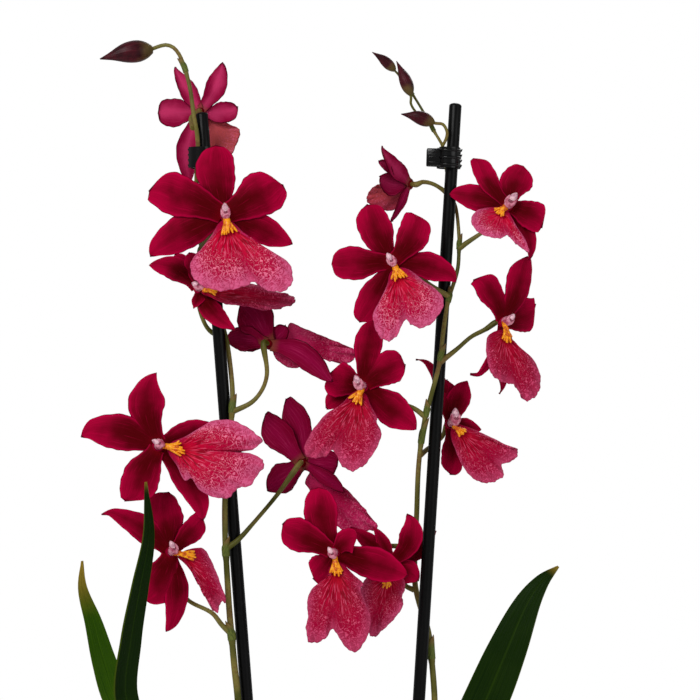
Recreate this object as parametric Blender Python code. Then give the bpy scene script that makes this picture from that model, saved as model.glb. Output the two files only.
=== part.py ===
"""Flowering oncidium orchid in its pot: two staked spikes, fifteen blooms, four buds and six leaves.

Units are metres, +Z is up, the front is -Y, and the origin is the middle of the pot's foot.
The plant is set out on an upright sheet through the stakes, as an eye 1.2 m in front of it sees it.
U counts half millimetres to the right and V counts them down, with the pot's foot at (336, 1300).
A third number is the depth in millimetres behind the sheet, along the line of sight.
"""
import math
import random

import bmesh
import bpy
from mathutils import Matrix, Vector

MM = 0.001
SHEET = 0.0005
FOOT_U = 336
FOOT_V = 1300
EYE = Vector((0.007, -1.2, 0.475))

BLADE = 0.8 * MM
GAP = 0.3 * MM
POT_HEIGHT = 0.112
POT_TOP_RADIUS = 0.060
POT_FOOT_RADIUS = 0.043
POT_WALL = 0.0018
POT_FLOOR = 0.003
BARK_TOP = 0.100
STAKE_RADIUS = 0.0031
HUB_DEEP = 2.2 * MM

CRIMSON = (0.22, 0.003, 0.032)
ROSE = (0.48, 0.02, 0.09)
YELLOW = (0.85, 0.33, 0.02)
MAROON = (0.05, 0.008, 0.014)
STEM_GREEN = (0.14, 0.17, 0.035)
LEAF_GREEN = (0.02, 0.075, 0.015)
BULB_GREEN = (0.10, 0.16, 0.04)
BARK_BROWN = (0.11, 0.05, 0.022)
BLACK = (0.008, 0.008, 0.009)


def clear_scene():
    for obj in list(bpy.data.objects):
        bpy.data.objects.remove(obj, do_unlink=True)


def material(name, colour, roughness):
    made = bpy.data.materials.get(name)
    if made is None:
        made = bpy.data.materials.new(name)
        made.use_nodes = True
        shader = made.node_tree.nodes["Principled BSDF"]
        shader.inputs["Base Color"].default_value = (*colour, 1)
        shader.inputs["Roughness"].default_value = roughness
        made.diffuse_color = (*colour, 1)
    return made


def place(u, v, depth):
    on_sheet = Vector(((u - FOOT_U) * SHEET, 0, (FOOT_V - v) * SHEET))
    return EYE + (on_sheet - EYE) * (1 - depth * MM / EYE.y)


# Smooth curve through points, read at a share of its length
def along(points, share):
    lengths = [(b - a).length for a, b in zip(points, points[1:])]
    left = min(max(share, 0), 1) * sum(lengths)
    for i, length in enumerate(lengths):
        if left <= length or i == len(lengths) - 1:
            break
        left -= length
    t = min(left / length, 1)
    b, c = points[i], points[i + 1]
    a = points[i - 1] if i else b * 2 - c
    d = points[i + 2] if i + 2 < len(points) else c * 2 - b
    leave = (c - a) * (length / ((b - a).length + length))
    arrive = (d - b) * (length / ((d - c).length + length))
    return (
        b * (2 * t**3 - 3 * t**2 + 1) + leave * (t**3 - 2 * t**2 + t)
        + c * (3 * t**2 - 2 * t**3) + arrive * (t**3 - t**2)
    )


# A sheet of rows by columns laid by a rule, merged where it meets itself, and thickened behind
def laid(rows, columns, rule, thickness=0):
    bm = bmesh.new()
    bmesh.ops.create_grid(bm, x_segments=rows, y_segments=columns, size=1)
    for vert in bm.verts:
        vert.co = rule((vert.co.x + 1) / 2, vert.co.y)
    bmesh.ops.remove_doubles(bm, verts=bm.verts[:], dist=1e-6)
    bmesh.ops.triangulate(bm, faces=bm.faces[:])
    if thickness:
        bmesh.ops.solidify(bm, geom=bm.faces[:], thickness=thickness)
    return bm


# A round rod along a curve. With rings of 0 it has one at each of the points
def tube(points, radii, sides, rings=0):
    shares = [i / max(rings, 1) for i in range(rings + 1)]
    if not rings:
        lengths = [(b - a).length for a, b in zip(points, points[1:])]
        shares = [sum(lengths[:i]) / sum(lengths) for i in range(len(points))]
        rings = len(lengths)
    frames = []
    side = Vector((0.31, -0.17, 0.93))
    for share in shares:
        ahead = (along(points, min(share + 0.01, 1)) - along(points, max(share - 0.01, 0))).normalized()
        side = (side - ahead * side.dot(ahead)).normalized()
        step = share * (len(radii) - 1)
        k = min(int(step), len(radii) - 2)
        wide = (radii[k] + (radii[k + 1] - radii[k]) * (step - k)) * MM
        frames.append((along(points, share), side * wide, ahead.cross(side) * wide))

    def rule(share, turn):
        here, across, up = frames[round(share * rings)]
        return here + across * math.cos(math.pi * turn) + up * math.sin(math.pi * turn)

    bm = laid(rings, sides, rule)
    bmesh.ops.holes_fill(bm, edges=[e for e in bm.edges if e.is_boundary], sides=sides)
    bmesh.ops.recalc_face_normals(bm, faces=bm.faces[:])
    return bm


def node(name, bm, colour, roughness=0.5):
    bmesh.ops.recalc_face_normals(bm, faces=bm.faces[:])
    mesh = bpy.data.meshes.new(name)
    bm.to_mesh(mesh)
    bm.free()
    mesh.shade_smooth()
    mesh.set_sharp_from_angle(angle=math.radians(50))
    obj = bpy.data.objects.new(name, mesh)
    bpy.context.scene.collection.objects.link(obj)
    mesh.materials.append(material(name.rsplit("_", 1)[0], colour, roughness))
    return obj


def take_shape(obj):
    graph = bpy.context.evaluated_depsgraph_get()
    mesh = bpy.data.meshes.new_from_object(obj.evaluated_get(graph))
    obj.modifiers.clear()
    obj.data = mesh
    obj.data.name = obj.name


# Drops what a join leaves beside the one body: sealed pockets and loose scraps
def keep_body(mesh):
    bm = bmesh.new()
    bm.from_mesh(mesh)
    bmesh.ops.remove_doubles(bm, verts=bm.verts[:], dist=1e-6)
    bmesh.ops.triangulate(bm, faces=bm.faces[:])
    left = set(bm.faces)
    bodies = []
    while left:
        reached = [left.pop()]
        for face in reached:
            near = {f for e in face.edges for f in e.link_faces} & left
            left -= near
            reached += near
        bodies.append(reached)
    bodies.sort(key=len)
    bmesh.ops.delete(bm, geom=[f for body in bodies[:-1] for f in body], context="FACES")
    bm.to_mesh(mesh)
    bm.free()


# The first shape with all the others joined to it, or cut from it
def fused(obj, others, operation="UNION", solver="EXACT"):
    helpers = bpy.data.collections.new(obj.name + "_helpers")
    bpy.context.scene.collection.children.link(helpers)
    for i, bm in enumerate(others):
        bmesh.ops.recalc_face_normals(bm, faces=bm.faces[:])
        mesh = bpy.data.meshes.new("helper")
        bm.to_mesh(mesh)
        bm.free()
        mesh.materials.append(obj.data.materials[0])
        helpers.objects.link(bpy.data.objects.new(f"helper_{i}", mesh))
    join = obj.modifiers.new("join", "BOOLEAN")
    join.operation = operation
    join.operand_type = "COLLECTION"
    join.collection = helpers
    join.solver = solver
    take_shape(obj)
    for helper in list(helpers.objects):
        bpy.data.objects.remove(helper, do_unlink=True)
    bpy.data.collections.remove(helpers)
    keep_body(obj.data)
    obj.data.shade_smooth()
    obj.data.set_sharp_from_angle(angle=math.radians(50))
    return obj


# Half width of a blade at a share of its length: claw, widest place, and how blunt its tip is
FORMS = {
    "petal": (0.46, 0.58, 2.5, 0.60),
    "sepal": (0.50, 0.50, 2.0, 0.78),
    "round": (0.44, 0.58, 2.7, 0.52),
    "blunt": (0.48, 0.62, 3.2, 0.50),
    "lance": (0.55, 0.42, 1.6, 0.92),
}


def half_width(form, share):
    claw, widest, power, blunt = FORMS[form]
    if share < widest:
        rise = math.sin(math.pi / 2 * share / widest)
        return claw + (1 - claw) * rise * rise
    return max((1 - ((share - widest) / (1 - widest)) ** power) ** blunt, 0.06)


class Flower:
    """A bloom's place and the way it looks, with a plane through its middle square to that look."""

    def __init__(self, u, v, depth, look):
        self.middle = place(u, v, depth)
        self.look = Vector(look).normalized()

    def on_plane(self, u, v, lift, look=None, start=None):
        look = look or self.look
        start = start or self.middle
        sight = place(u, v, 0) - EYE
        return EYE + sight * ((lift * MM + (start - EYE).dot(look)) / sight.dot(look))


# A tepal from the middle to its tip: tip (u, v), lift of the tip, width, form, bend, arch and twist
def tepal(flower, u, v, lift, width, form, bend=0, arch=0, twist=0, cup=-0.10, base=None, rows=4, columns=2):
    look = flower.look
    if base is None:
        base = 0.9 if form in ("petal", "blunt") else -0.5
    tip = flower.on_plane(u, v, lift)
    start = flower.middle + look * base * MM
    start = start + (tip - start).normalized() * 1.3 * MM
    side = Vector((0, -1, 0)).cross((tip - start).normalized()).normalized()
    centre = (start + tip) / 2 + side * bend * SHEET + look * arch * MM
    handle = centre * 2 - (start + tip) / 2

    def rule(share, across):
        point = start * (1 - share) ** 2 + handle * 2 * share * (1 - share) + tip * share**2
        ahead = ((handle - start) * (1 - share) + (tip - handle) * share).normalized()
        face = Matrix.Rotation(math.radians(twist) * min(share * 2.5, 1), 3, ahead) @ look
        wide = face.cross(ahead).normalized()
        face = ahead.cross(wide)
        half = half_width(form, share) * width / 2 * SHEET
        return point + wide * across * half + face * cup * half * across * across * 2

    return laid(3 if form == "lance" else rows, columns, rule, BLADE)


# The lip's outline round its foot, its surface between them, and the curl of its far edge
class Lip:
    def __init__(self, flower, u, v, outline, look, lift=3.3, curl=3.0, wave=0.9, folds=5, turn=0.0):
        self.look = Vector(look).normalized()
        self.start = flower.on_plane(u, v, lift)
        self.foot = Vector((u, v))
        self.outline = [Vector(p) for p in outline]
        self.flower = flower
        self.curl, self.wave, self.folds, self.turn = curl, wave, folds, turn

    def edge(self, turn):
        n = len(self.outline)
        step = turn % 1 * n
        i = int(step)
        t = step - i
        a, b, c, d = (self.outline[(i + k) % n] for k in (-1, 0, 1, 2))
        return (b * 2 + (c - a) * t + (a * 2 - b * 5 + c * 4 - d) * t**2 + (b * 3 - a - c * 3 + d) * t**3) / 2

    def point(self, share, turn):
        spot = self.foot + (self.edge(turn) - self.foot) * share
        reach = (self.edge(turn) - self.foot).length / 60
        lift = -self.curl * share**4 * min(reach, 1)
        lift += self.wave * share**3 * reach * math.sin(2 * math.pi * (self.folds * turn + self.turn))
        return self.flower.on_plane(spot.x, spot.y, lift, self.look, self.start)

    def blade(self, rings=3):
        count = len(self.outline)
        bm = laid(rings, count, lambda share, turn: self.point(share, (turn + 1) / 2 % 1), 0)
        spin = sum((f.calc_area() * f.normal.dot(self.look) for f in bm.faces))
        if spin < 0:
            bmesh.ops.reverse_faces(bm, faces=bm.faces[:])
        bmesh.ops.solidify(bm, geom=bm.faces[:], thickness=BLADE)
        return bm


# The ridged yellow callus on the lip's foot, from one sheet place to another
def callus(flower, lip, start, end, width):
    first = flower.on_plane(*start, 0.45, lip.look, lip.start)
    last = flower.on_plane(*end, 0.45, lip.look, lip.start)
    side = lip.look.cross((last - first).normalized())

    def rule(share, across):
        half = width / 2 * SHEET * (0.6 + 0.4 * math.sin(math.pi * min(share * 1.3, 1)))
        high = (0.5 + 0.5 * math.cos(across * 3 * math.pi)) * 0.8 + 1.0
        return first.lerp(last, share) + side * across * half + lip.look * high * (1.1 - 0.5 * share) * MM

    bm = laid(2, 6, rule)
    new = bmesh.ops.extrude_face_region(bm, geom=bm.faces[:])
    for item in new["geom"]:
        if isinstance(item, bmesh.types.BMVert):
            item.co -= lip.look * (item.co - first).dot(lip.look)
    return bm


def bloom(number, at, look, tepals, column, lip_foot, lip_outline, lip_look, crown=None, **lip_shape):
    flower = Flower(*at, look)
    pieces = [tepal(flower, *spec) for spec in tepals]
    tip = flower.on_plane(*column, 5.0)
    heart = flower.middle
    core = [heart - flower.look * HUB_DEEP, heart + flower.look * 0.8 * MM, heart.lerp(tip, 0.6), tip]
    hub = tube(core, (1.6, 3.0, 1.7, 1.9, 1.2), 6, 4)
    fused(node(f"tepals_{number:02d}", hub, CRIMSON, 0.55), pieces)
    lip = Lip(flower, *lip_foot, lip_outline, lip_look, **lip_shape)
    node(f"lip_{number:02d}", lip.blade(), ROSE, 0.5)
    if crown:
        node(f"callus_{number:02d}", callus(flower, lip, *crown), YELLOW, 0.45)
    return flower


clear_scene()

# Left spike's blooms, from the top down

flowers = {}

flowers[1] = bloom(
    1, (200.7, 112, 15), (0.10, 1, 0.05),
    [
        (174, 68, -2, 19, "lance", 0, 0, 20),
        (223, 62, -1, 21, "sepal", -4),
        (158, 113, 0, 29, "blunt", 0),
        (238, 108, 0, 22, "petal", -3),
        (190, 184, -2, 23, "sepal", -7),
    ],
    (203, 101), (210, 124),
    [(208, 117), (218, 116), (229, 124), (238, 128), (240, 135), (235, 148), (229, 161), (222, 172), (211, 172),
     (202, 160), (199, 143), (200, 128)],
    (0.1, 1, -0.25),
)

flowers[2] = bloom(
    2, (225, 215, -22), (0.04, -1, 0.04),
    [
        (215, 145, -2, 39, "round", 3, 1),
        (151, 185, 0, 41, "blunt", -1, 1),
        (279, 180, 0, 44, "blunt", -2, 1),
        (149, 255, -3, 31, "sepal", -4, 1),
        (292, 245, -3, 28, "sepal", 2, 1),
    ],
    (224.5, 203), (227, 224),
    [(219, 223), (211, 236), (201, 249), (193, 258), (190, 268), (195, 280), (207, 288), (222, 291), (235, 289),
     (246, 286), (255, 282), (264, 289), (277, 292), (289, 288), (293, 275), (288, 262), (276, 254), (261, 244.5),
     (246, 235), (236, 225), (227, 219)],
    (0.04, -1, 0.38),
    crown=((226.5, 220), (229, 234), 19),
)

flowers[3] = bloom(
    3, (199, 288, -6), (-0.15, -0.8, 0.55),
    [
        (148, 264, 0, 27, "sepal", -8, 1),
        (193, 307, 0, 14, "lance", 2),
        (235, 329, -1, 22, "lance", -5, 0),
        (174, 254, 0, 22, "petal"),
        (190, 252, 4, 18, "petal"),
    ],
    (192, 283), (205, 291),
    [(204, 286), (217, 282), (235, 281), (257, 285), (278, 292), (294, 297), (293, 304), (280, 308), (264, 310),
     (245, 306), (226, 304), (210, 297), (202, 293)],
    (0.25, -0.75, 0.6), lift=3.3, curl=1.0, wave=0.4, folds=4,
)

flowers[4] = bloom(
    4, (270, 344, 0), (0.5, 0.85, -0.1),
    [
        (241, 302, 0, 44, "round", -6, -1),
        (227, 340, 1, 26, "sepal", -3, -1),
        (233, 348, 1, 16, "lance", -2, 0),
        (286, 325, 0, 20, "petal", -2),
        (331, 384, -1, 25, "sepal", 10, -1),
    ],
    (276, 336), (284, 342),
    [(284, 336), (290, 323), (301, 327), (318, 334), (335, 341), (353, 349), (356, 357), (345, 364), (330, 361),
     (316, 358), (303, 366), (290, 368), (277, 360), (273, 351), (277, 342)],
    (0.0, 1, 0.1), curl=1.5, wave=0.6,
)

flowers[5] = bloom(
    5, (158, 446, -25), (0.12, -1, 0.06),
    [
        (154, 371, -2, 36, "blunt", 9, 1),
        (80, 431, -3, 36, "sepal", -6, 1),
        (132, 503, -2, 38, "petal", -2, 1),
        (205, 520, -4, 27, "sepal", 7, 0),
        (211, 424, -5, 26, "sepal", 0, 0),
    ],
    (152, 440), (176, 449),
    [(172, 442), (186, 436), (201, 427), (215, 420), (235, 421), (251, 430), (262, 440), (254, 449), (242, 452),
     (253, 454), (264, 462), (261, 471), (249, 486), (238, 488), (230, 497), (217, 498), (200, 490.5), (192, 479),
     (184, 480), (177, 466), (170, 456), (167, 448)],
    (-0.22, -1, 0.05),
    crown=((165, 446), (184, 449), 16),
)

flowers[6] = bloom(
    6, (171, 552, -13), (0.32, -1, 0.05),
    [
        (164, 492, -2, 38, "round", 2, 1),
        (103, 509, -2, 26, "lance", -5, 1),
        (205, 517, -2, 23, "blunt", 0, 1),
        (144, 600, -2, 40, "petal", 4, 0),
        (168, 633, -3, 24, "sepal", 8, 0),
    ],
    (170, 541), (185, 557),
    [(184, 551), (195, 548), (204, 549), (211, 560), (219, 579), (226, 601), (221, 602), (217, 613), (209, 603),
     (202, 590), (197, 581), (190, 570), (184, 563), (178, 557)],
    (0.22, -1, 0.30), curl=1.5, wave=0.6, folds=4,
    crown=((176, 554), (194, 556), 11),
)

flowers[7] = bloom(
    7, (302, 463, 6), (0.15, 1, -0.05),
    [
        (262, 419, 0, 30, "round", -2, -1),
        (283, 403, 2, 26, "blunt", -9, 0),
        (267, 489, 1, 30, "sepal", 1, -1),
        (338, 466, 2, 30, "blunt", 0, 0),
        (345, 493, 0, 15, "sepal", 2, 0),
    ],
    (298, 455), (314, 478),
    [(313, 471), (325, 476), (344, 487), (356, 499), (367, 512), (378, 528), (366, 531), (350, 532), (334, 524),
     (321, 510), (312, 498), (309, 489), (305, 483), (308, 475)],
    (0.15, 1, 0.2), lift=4.0, curl=1.5, wave=0.7,
)

# Right spike's blooms, from the top down

flowers[8] = bloom(
    8, (409, 184, 3), (-0.6, 0.78, 0.1),
    [
        (380, 147, -9, 18, "lance", 2, 0),
        (378, 161, -4, 15, "sepal", -2, 0),
        (378, 178, -1, 24, "sepal", 3, 2),
        (391, 222, -6, 11, "lance", 0, 0),
        (389, 161, -5, 18, "sepal", 0, 0),
    ],
    (403, 181), (405, 190),
    [(408, 189), (402, 186), (392, 184), (380, 184), (372, 188), (367, 196), (368, 203), (378, 208), (389, 211),
     (398, 208), (405, 202), (409, 194)],
    (-0.5, 0.85, -0.05), lift=3.3, curl=1.0, wave=0.3,
)

flowers[9] = bloom(
    9, (508, 206, -10), (-0.08, -1, 0.12),
    [
        (478, 156, -2, 21, "blunt", 4, 1),
        (526, 167, 0, 32, "round", 3, 1),
        (449, 192, -2, 26, "sepal", -1, 1),
        (545, 222, 0, 30, "blunt", 1, 1),
        (531, 260, -3, 19, "lance", 7, 0),
    ],
    (517, 193), (502, 212),
    [(505, 208), (496, 207), (485, 208), (476, 211), (471, 220), (475, 229), (483, 235), (494, 238), (502, 238),
     (507, 235), (513, 241), (520, 247), (529, 252), (525, 239), (517, 227), (511, 216)],
    (-0.15, -1, 0.55), lift=3.9, curl=2.0, wave=0.6, folds=4,
    crown=((505, 209), (498, 215), 15),
)

flowers[10] = bloom(
    10, (393, 262, -22), (0.0, -1, 0.05),
    [
        (368, 204, -2, 34, "round", 3, 1),
        (419, 213, 0, 32, "blunt", -5, 1),
        (331, 264, 0, 33, "blunt", 0, 1),
        (459, 279, -3, 27, "sepal", 5, 1),
        (359, 322, -2, 30, "petal", 1, 0),
    ],
    (387, 253), (397, 274),
    [(390, 273), (387, 285), (380, 300), (373, 314), (375, 328), (381, 338), (390, 341), (398, 334), (405, 320),
     (412, 325), (423, 328), (436, 319), (444, 302), (437, 290), (424, 281), (413, 272), (405, 268), (397, 268)],
    (0.0, -1, 0.36),
    crown=((394.8, 267), (399, 280), 17),
)

flowers[11] = bloom(
    11, (503, 322, -8), (0.5, -0.85, 0.0),
    [
        (525, 255, -2, 30, "petal", -3, 1),
        (479, 275, -2, 29, "blunt", -3, 1),
        (538, 311, -2, 33, "blunt", -1, 0),
        (474, 379, -4, 13, "lance", 7, 0),
        (504, 394, -5, 18, "lance", 0, 0),
    ],
    (514, 314), (504, 334),
    [(499, 330), (488, 336), (486, 350), (488, 364), (491, 373), (497, 379), (505, 383), (514, 385), (520, 394),
     (526, 401), (535, 397), (540, 388), (540, 374), (533, 359), (521, 348), (513, 340), (509, 331)],
    (0.4, -1, 0.25), curl=2.0, wave=0.6,
    crown=((504, 325), (507, 341), 13),
)

flowers[12] = bloom(
    12, (363, 386, -10), (0.0, -1, 0.04),
    [
        (372, 319, -1, 28, "petal", 0, 1),
        (404, 361, 0, 33, "blunt", 2, 1),
        (329, 375, 3, 36, "blunt", 1, 1),
        (418, 428, -2, 33, "sepal", -1, 1),
        (325, 407, -3, 24, "sepal", -2, 0),
    ],
    (355, 375), (359, 396),
    [(352, 393), (340, 405), (327, 413), (318, 423), (310, 434), (304, 449), (308, 457), (317, 458), (326, 456),
     (333, 450), (340, 463), (350, 471), (360, 468), (369, 460), (380, 441), (381, 431), (377, 423), (377, 417),
     (371, 406), (367, 396), (360, 390)],
    (0.0, -1, 0.42),
    crown=((361, 391), (355, 403), 17), lift=3.6,
)

flowers[13] = bloom(
    13, (450, 424, 12), (0.25, -1, 0.1),
    [
        (452, 381, -2, 25, "petal", 2, 1),
        (464, 379, 0, 25, "sepal", -1, 1),
        (482, 429, -2, 18, "lance", 0, 0),
        (450, 474, -2, 24, "blunt", 3, 0),
        (420, 355, -3, 15, "lance", -8, 0),
    ],
    (455, 408), (458, 430),
    [(456, 424), (468, 427), (482, 433), (497, 440), (510, 447), (518, 451), (514, 460), (502, 465), (504, 475),
     (496, 481), (486, 483), (474, 479), (466, 471), (460, 461), (455, 449), (451, 438), (451, 429)],
    (0.2, -1, 0.4), lift=4.3, curl=2.0, wave=0.6,
    crown=((454.5, 428), (463, 435), 11),
)

flowers[14] = bloom(
    14, (334, 552, -25), (0.04, -1, 0.0),
    [
        (319, 487, -2, 33, "round", 4, 1),
        (281, 529, 0, 32, "blunt", -2, 1),
        (358, 538, 0, 25, "petal", 3, 2),
        (408, 576, -3, 33, "sepal", 1, 1),
        (313, 578, -2, 30, "blunt", 1, 0),
    ],
    (328, 547), (336, 570),
    [(329, 568), (327, 576), (320, 582), (311, 590), (307, 603), (308, 615), (306, 629), (309, 642), (318, 642),
     (326, 638), (333, 629), (341, 641), (352, 652), (363, 645), (371, 623), (367, 606), (361, 591), (363, 583),
     (354, 575), (345, 566), (336, 562)],
    (0.04, -1, 0.36),
    crown=((334.8, 558), (337, 575), 14),
)

flowers[15] = bloom(
    15, (391, 563, 1), (-0.1, -1, 0.05),
    [
        (410, 513, 3, 24, "sepal", -10, 3),
        (436, 531, -5, 22, "lance", -3, -2),
        (419, 580, -1, 24, "sepal", 1, 0),
        (350, 528, 0, 19, "lance", -2, 0),
        (373, 527, 0, 14, "lance", -2, 0),
    ],
    (391, 556), (389, 575),
    [(384, 571), (371, 574), (362, 585), (361, 603), (367, 628), (373, 637), (384, 629), (395, 618), (403, 606),
     (402, 597), (405, 589), (404, 579), (396, 570), (389, 566)],
    (-0.1, -1, 0.1), curl=1.5, wave=0.6,
)


# Buds: pointed spindles, from foot to tip

def bud(number, foot, tip, width, bulge=0.36):
    start, end = place(*foot), place(*tip)
    middle = start.lerp(end, 0.5)
    middle.z += 0.8 * MM
    wide = width / 2 * SHEET / MM
    radii = [wide * w for w in (0.34, 0.86, 1.0, 0.90, 0.62, 0.30, 0.08)]
    return node(f"bud_{number}", tube([start, middle, end], radii, 7, 6), MAROON, 0.4)


bud(1, (152.5, 49.5, 1), (100, 59, -4), 22.5)
bud(2, (395, 70.5, 2), (372, 52, -1), 11)
bud(3, (411, 95, -1), (396.5, 61, 1), 13)
bud(4, (434, 123, -5), (401, 114, -8), 14.5)


# Spikes: the stem with its pedicels and bracts, grown as one piece

def sheet_path(points):
    return [place(*p) for p in points]


def pedicel(flower, route):
    start = flower.middle - flower.look * (HUB_DEEP + 0.6 * MM)
    near = flower.middle - flower.look * 6 * MM
    points = [start, near] + sheet_path(route)
    return tube(points, (1.15, 1.25, 1.15, 1.05, 1.05, 1.25, 1.5), 5, 5)


def stalk(route, radii=(0.9, 0.8, 1.0)):
    return tube(sheet_path(route), radii, 5, 5)


LEFT_STEM = [
    (155, 47.9, 1), (160, 46, 0.5), (167, 45, 0), (174, 48, -1), (180, 56, -1.5), (186, 72, -2.4), (190.5, 91, -3.2), (194, 117, -4.4),
    (196.8, 132, -4.9), (198, 150, -3.9), (196.5, 178, -1), (198, 215, 2), (203, 250, 5.5), (211, 285, 6.4),
    (221, 320, 5.8), (227, 343, 4.6), (231, 373, 2.6), (232.5, 393, -1.5), (232, 413, -4.8), (229, 450, -6.2),
    (225, 498, -5.6), (225, 534, -4.8), (226, 556, -4.4), (229.3, 610, -4), (232, 640, -4.2), (234.5, 667, -4.2),
    (238, 700, -4.4), (244, 800, -4), (250, 900, -4), (260, 1000, -5), (268, 1060, -6.5), (274, 1100, -8),
    (279, 1150, -9),
]
RIGHT_STEM = [
    (397, 72.8, 2.4), (402, 80, 4.6), (413, 95, 5), (424, 113, 2), (434, 131, -2.2), (443, 147, -2.6),
    (443.6, 157, 1), (446, 168, 4.3), (448, 181, 5.2), (451, 195, 5.2), (456, 208, 4.4), (459, 236, 0.5), (459, 249, 0), (457.5, 270, -1.5),
    (448, 302, -5), (443, 334, -5.6), (440, 361, -5.4), (431, 396, -4.8), (425.5, 416, -2.5), (421, 443, 0),
    (418.2, 472, 3), (416.6, 516, 8), (415, 550, 9.5), (415, 583, 8.5), (419.5, 604, 7), (428, 630, 6),
    (431.6, 659, 4), (434.6, 700, 2), (436, 800, 0), (425, 900, -3), (411, 1000, -6), (402, 1060, -8),
    (396, 1100, -9), (391, 1150, -10),
]


def spike(name, stem, stem_radii, branches):
    root = tube(sheet_path(stem), stem_radii, 6)
    return fused(node(name, root, STEM_GREEN, 0.5), branches, solver="MANIFOLD")


spike(
    "spike_left", LEFT_STEM, (0.95, 1.1, 1.2, 1.3, 1.5, 1.75, 2.0, 2.0, 2.0),
    [
        pedicel(flowers[1], [(191, 118, 3), (193, 128, -4.6)]),
        pedicel(flowers[2], [(211, 236, -10), (200, 249, -2.5), (201, 259, 4.5)]),
        pedicel(flowers[3], [(199, 305, 3), (205, 324, 4.5), (213, 333, 6.4), (223, 334, 5.6)]),
        pedicel(flowers[4], [(267, 372, -6), (263, 388, -5.5), (252, 402, -5), (232, 412, -4.8)]),
        pedicel(flowers[5], [(182, 462, -13), (205, 470, -8), (227, 469, -6)]),
        pedicel(flowers[6], [(176, 582, -4), (188, 600, -2), (212, 613, -4), (222, 625, -4.5), (233, 636, -3.8)]),
        pedicel(flowers[7], [(277, 495, -3), (250, 527, -5), (238, 540, -5), (226, 549, -4.2)]),
    ],
)
spike(
    "spike_right", RIGHT_STEM, (0.55, 0.8, 1.0, 1.2, 1.35, 1.5, 1.6, 1.7, 1.8, 1.9),
    [
        stalk([(411, 97.5, -1), (411, 104, -1), (416, 112, -1), (423, 117, -0.6), (430, 124, -0.8)], (0.7, 0.6, 0.9)),
        stalk([(436, 123.3, -5), (443, 124.5, -5), (447, 132, -4.9), (446, 139, -4.2), (442, 147, -2.6)], (0.8, 0.75, 0.8)),
        pedicel(flowers[8], [(423, 182, 0.5), (433, 184, 3), (443, 190, 4.8), (450.5, 197, 5.2)]),
        pedicel(flowers[9], [(494, 224, -3), (480, 234, -1), (468, 242, 0), (458.5, 249, 0)]),
        pedicel(flowers[10], [(413, 272, -13), (432, 286, -9), (450, 297, -4.4)]),
        pedicel(flowers[11], [(486, 329, -3), (471, 337, -4), (457, 349, -5), (440.5, 362, -5.4)]),
        pedicel(flowers[12], [(388, 396, -4), (404, 404, -3.5), (415, 409, -3.2), (425.5, 417, -2.4)]),
        pedicel(flowers[13], [(442, 437, 13), (430, 447, 8), (420.5, 455, 1.5)]),
        pedicel(flowers[14], [(348, 550, -8), (357, 549.5, 5), (370, 548, 9), (388, 546, 10.5), (414, 547, 10.5)]),
        pedicel(flowers[15], [(399, 577, 7), (406, 586, 9), (414.2, 590, 8.4)]),
    ],
)

# Stakes: plain rods, leaning out from the pot

def stake(name, foot, top):
    bm = tube([Vector(foot), Vector(top)], (STAKE_RADIUS / MM, STAKE_RADIUS / MM), 12, 1)
    return node(name, bm, BLACK, 0.35)


def stake_at(base_u, base_v, lean, depth, v):
    return place(base_u + lean * (v - base_v), v, depth)


stake("stake_left", stake_at(201.7, 112, 0.0770, 0, 1260), stake_at(201.7, 112, 0.0770, 0, 112))
stake("stake_right", stake_at(455.6, 103, -0.0615, 0, 1260), stake_at(455.6, 103, -0.0615, 0, 103))


# Clips: a claw that closes round the stake and the stem, with thumb tabs and a row of teeth

def box(centre, size, turn=0.0):
    bm = bmesh.new()
    bmesh.ops.create_cube(bm, size=1)
    turned = Matrix.Rotation(turn, 3, "Y")
    for vert in bm.verts:
        vert.co = centre + turned @ Vector([c * s for c, s in zip(vert.co, size)])
    return bm


def clip(name, middle, stake_line, stem_line, side, turn):
    body = box(place(*middle), (0.0100, 0.0125, 0.0105), turn)
    tabs = []
    for k in (-1, 1):
        tab = place(middle[0] + side * 13, middle[1] + 1, middle[2] + 2.6 * k)
        tabs.append(box(tab, (0.0080, 0.0016, 0.0088), turn))
    for k in range(4):
        tooth = place(middle[0] - side * 10.5, middle[1] - 7.8 + 5.2 * k, middle[2])
        tabs.append(box(tooth, (0.0024, 0.0090, 0.0012), turn))
    obj = fused(node(name, body, BLACK, 0.3), tabs)
    holes = [
        tube(stake_line, [(STAKE_RADIUS + 0.4 * MM) / MM] * 3, 10, 1),
        tube(stem_line, [2.4] * 3, 7, 2),
    ]
    return fused(obj, holes, "DIFFERENCE")


clip(
    "clip_left", (201, 158, -2), [stake_at(201.7, 112, 0.0770, 0, v) for v in (190, 158, 126)],
    sheet_path([(196.9, 184, -0.4), (197.9, 158, -3.2), (196.8, 132, -4.9)]), 1, 0.0,
)
clip(
    "clip_right", (449, 158, 0), [stake_at(455.6, 103, -0.0615, 0, v) for v in (190, 158, 126)],
    sheet_path([(447.6, 176, 5.2), (443.6, 157, 1), (441, 142, -2.8)]), -1, 0.03,
)


# Leaves: long folded straps from the tops of the bulbs

def leaf(number, route, width, face_low, face_high, fold=0.16, widest=0.55, rows=13):
    points = sheet_path(route)
    low, high = Vector(face_low), Vector(face_high)

    def rule(share, across):
        point = along(points, share)
        ahead = (along(points, min(share + 0.02, 1)) - along(points, max(share - 0.02, 0))).normalized()
        wide = low.lerp(high, share).cross(ahead).normalized()
        face = ahead.cross(wide)
        rise = math.sin(math.pi / 2 * min(share / widest, 1))
        half = 0.34 + 0.66 * rise
        if share > widest:
            half = max((1 - ((share - widest) / (1 - widest)) ** 1.9) ** 0.8, 0.05)
        half *= width / 2 * SHEET
        sink = fold * (1.6 - 1.3 * share)
        return point + wide * across * half + face * abs(across) * half * sink

    return node(f"leaf_{number}", laid(rows, 2, rule, 1.0 * MM), LEAF_GREEN, 0.35)


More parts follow.
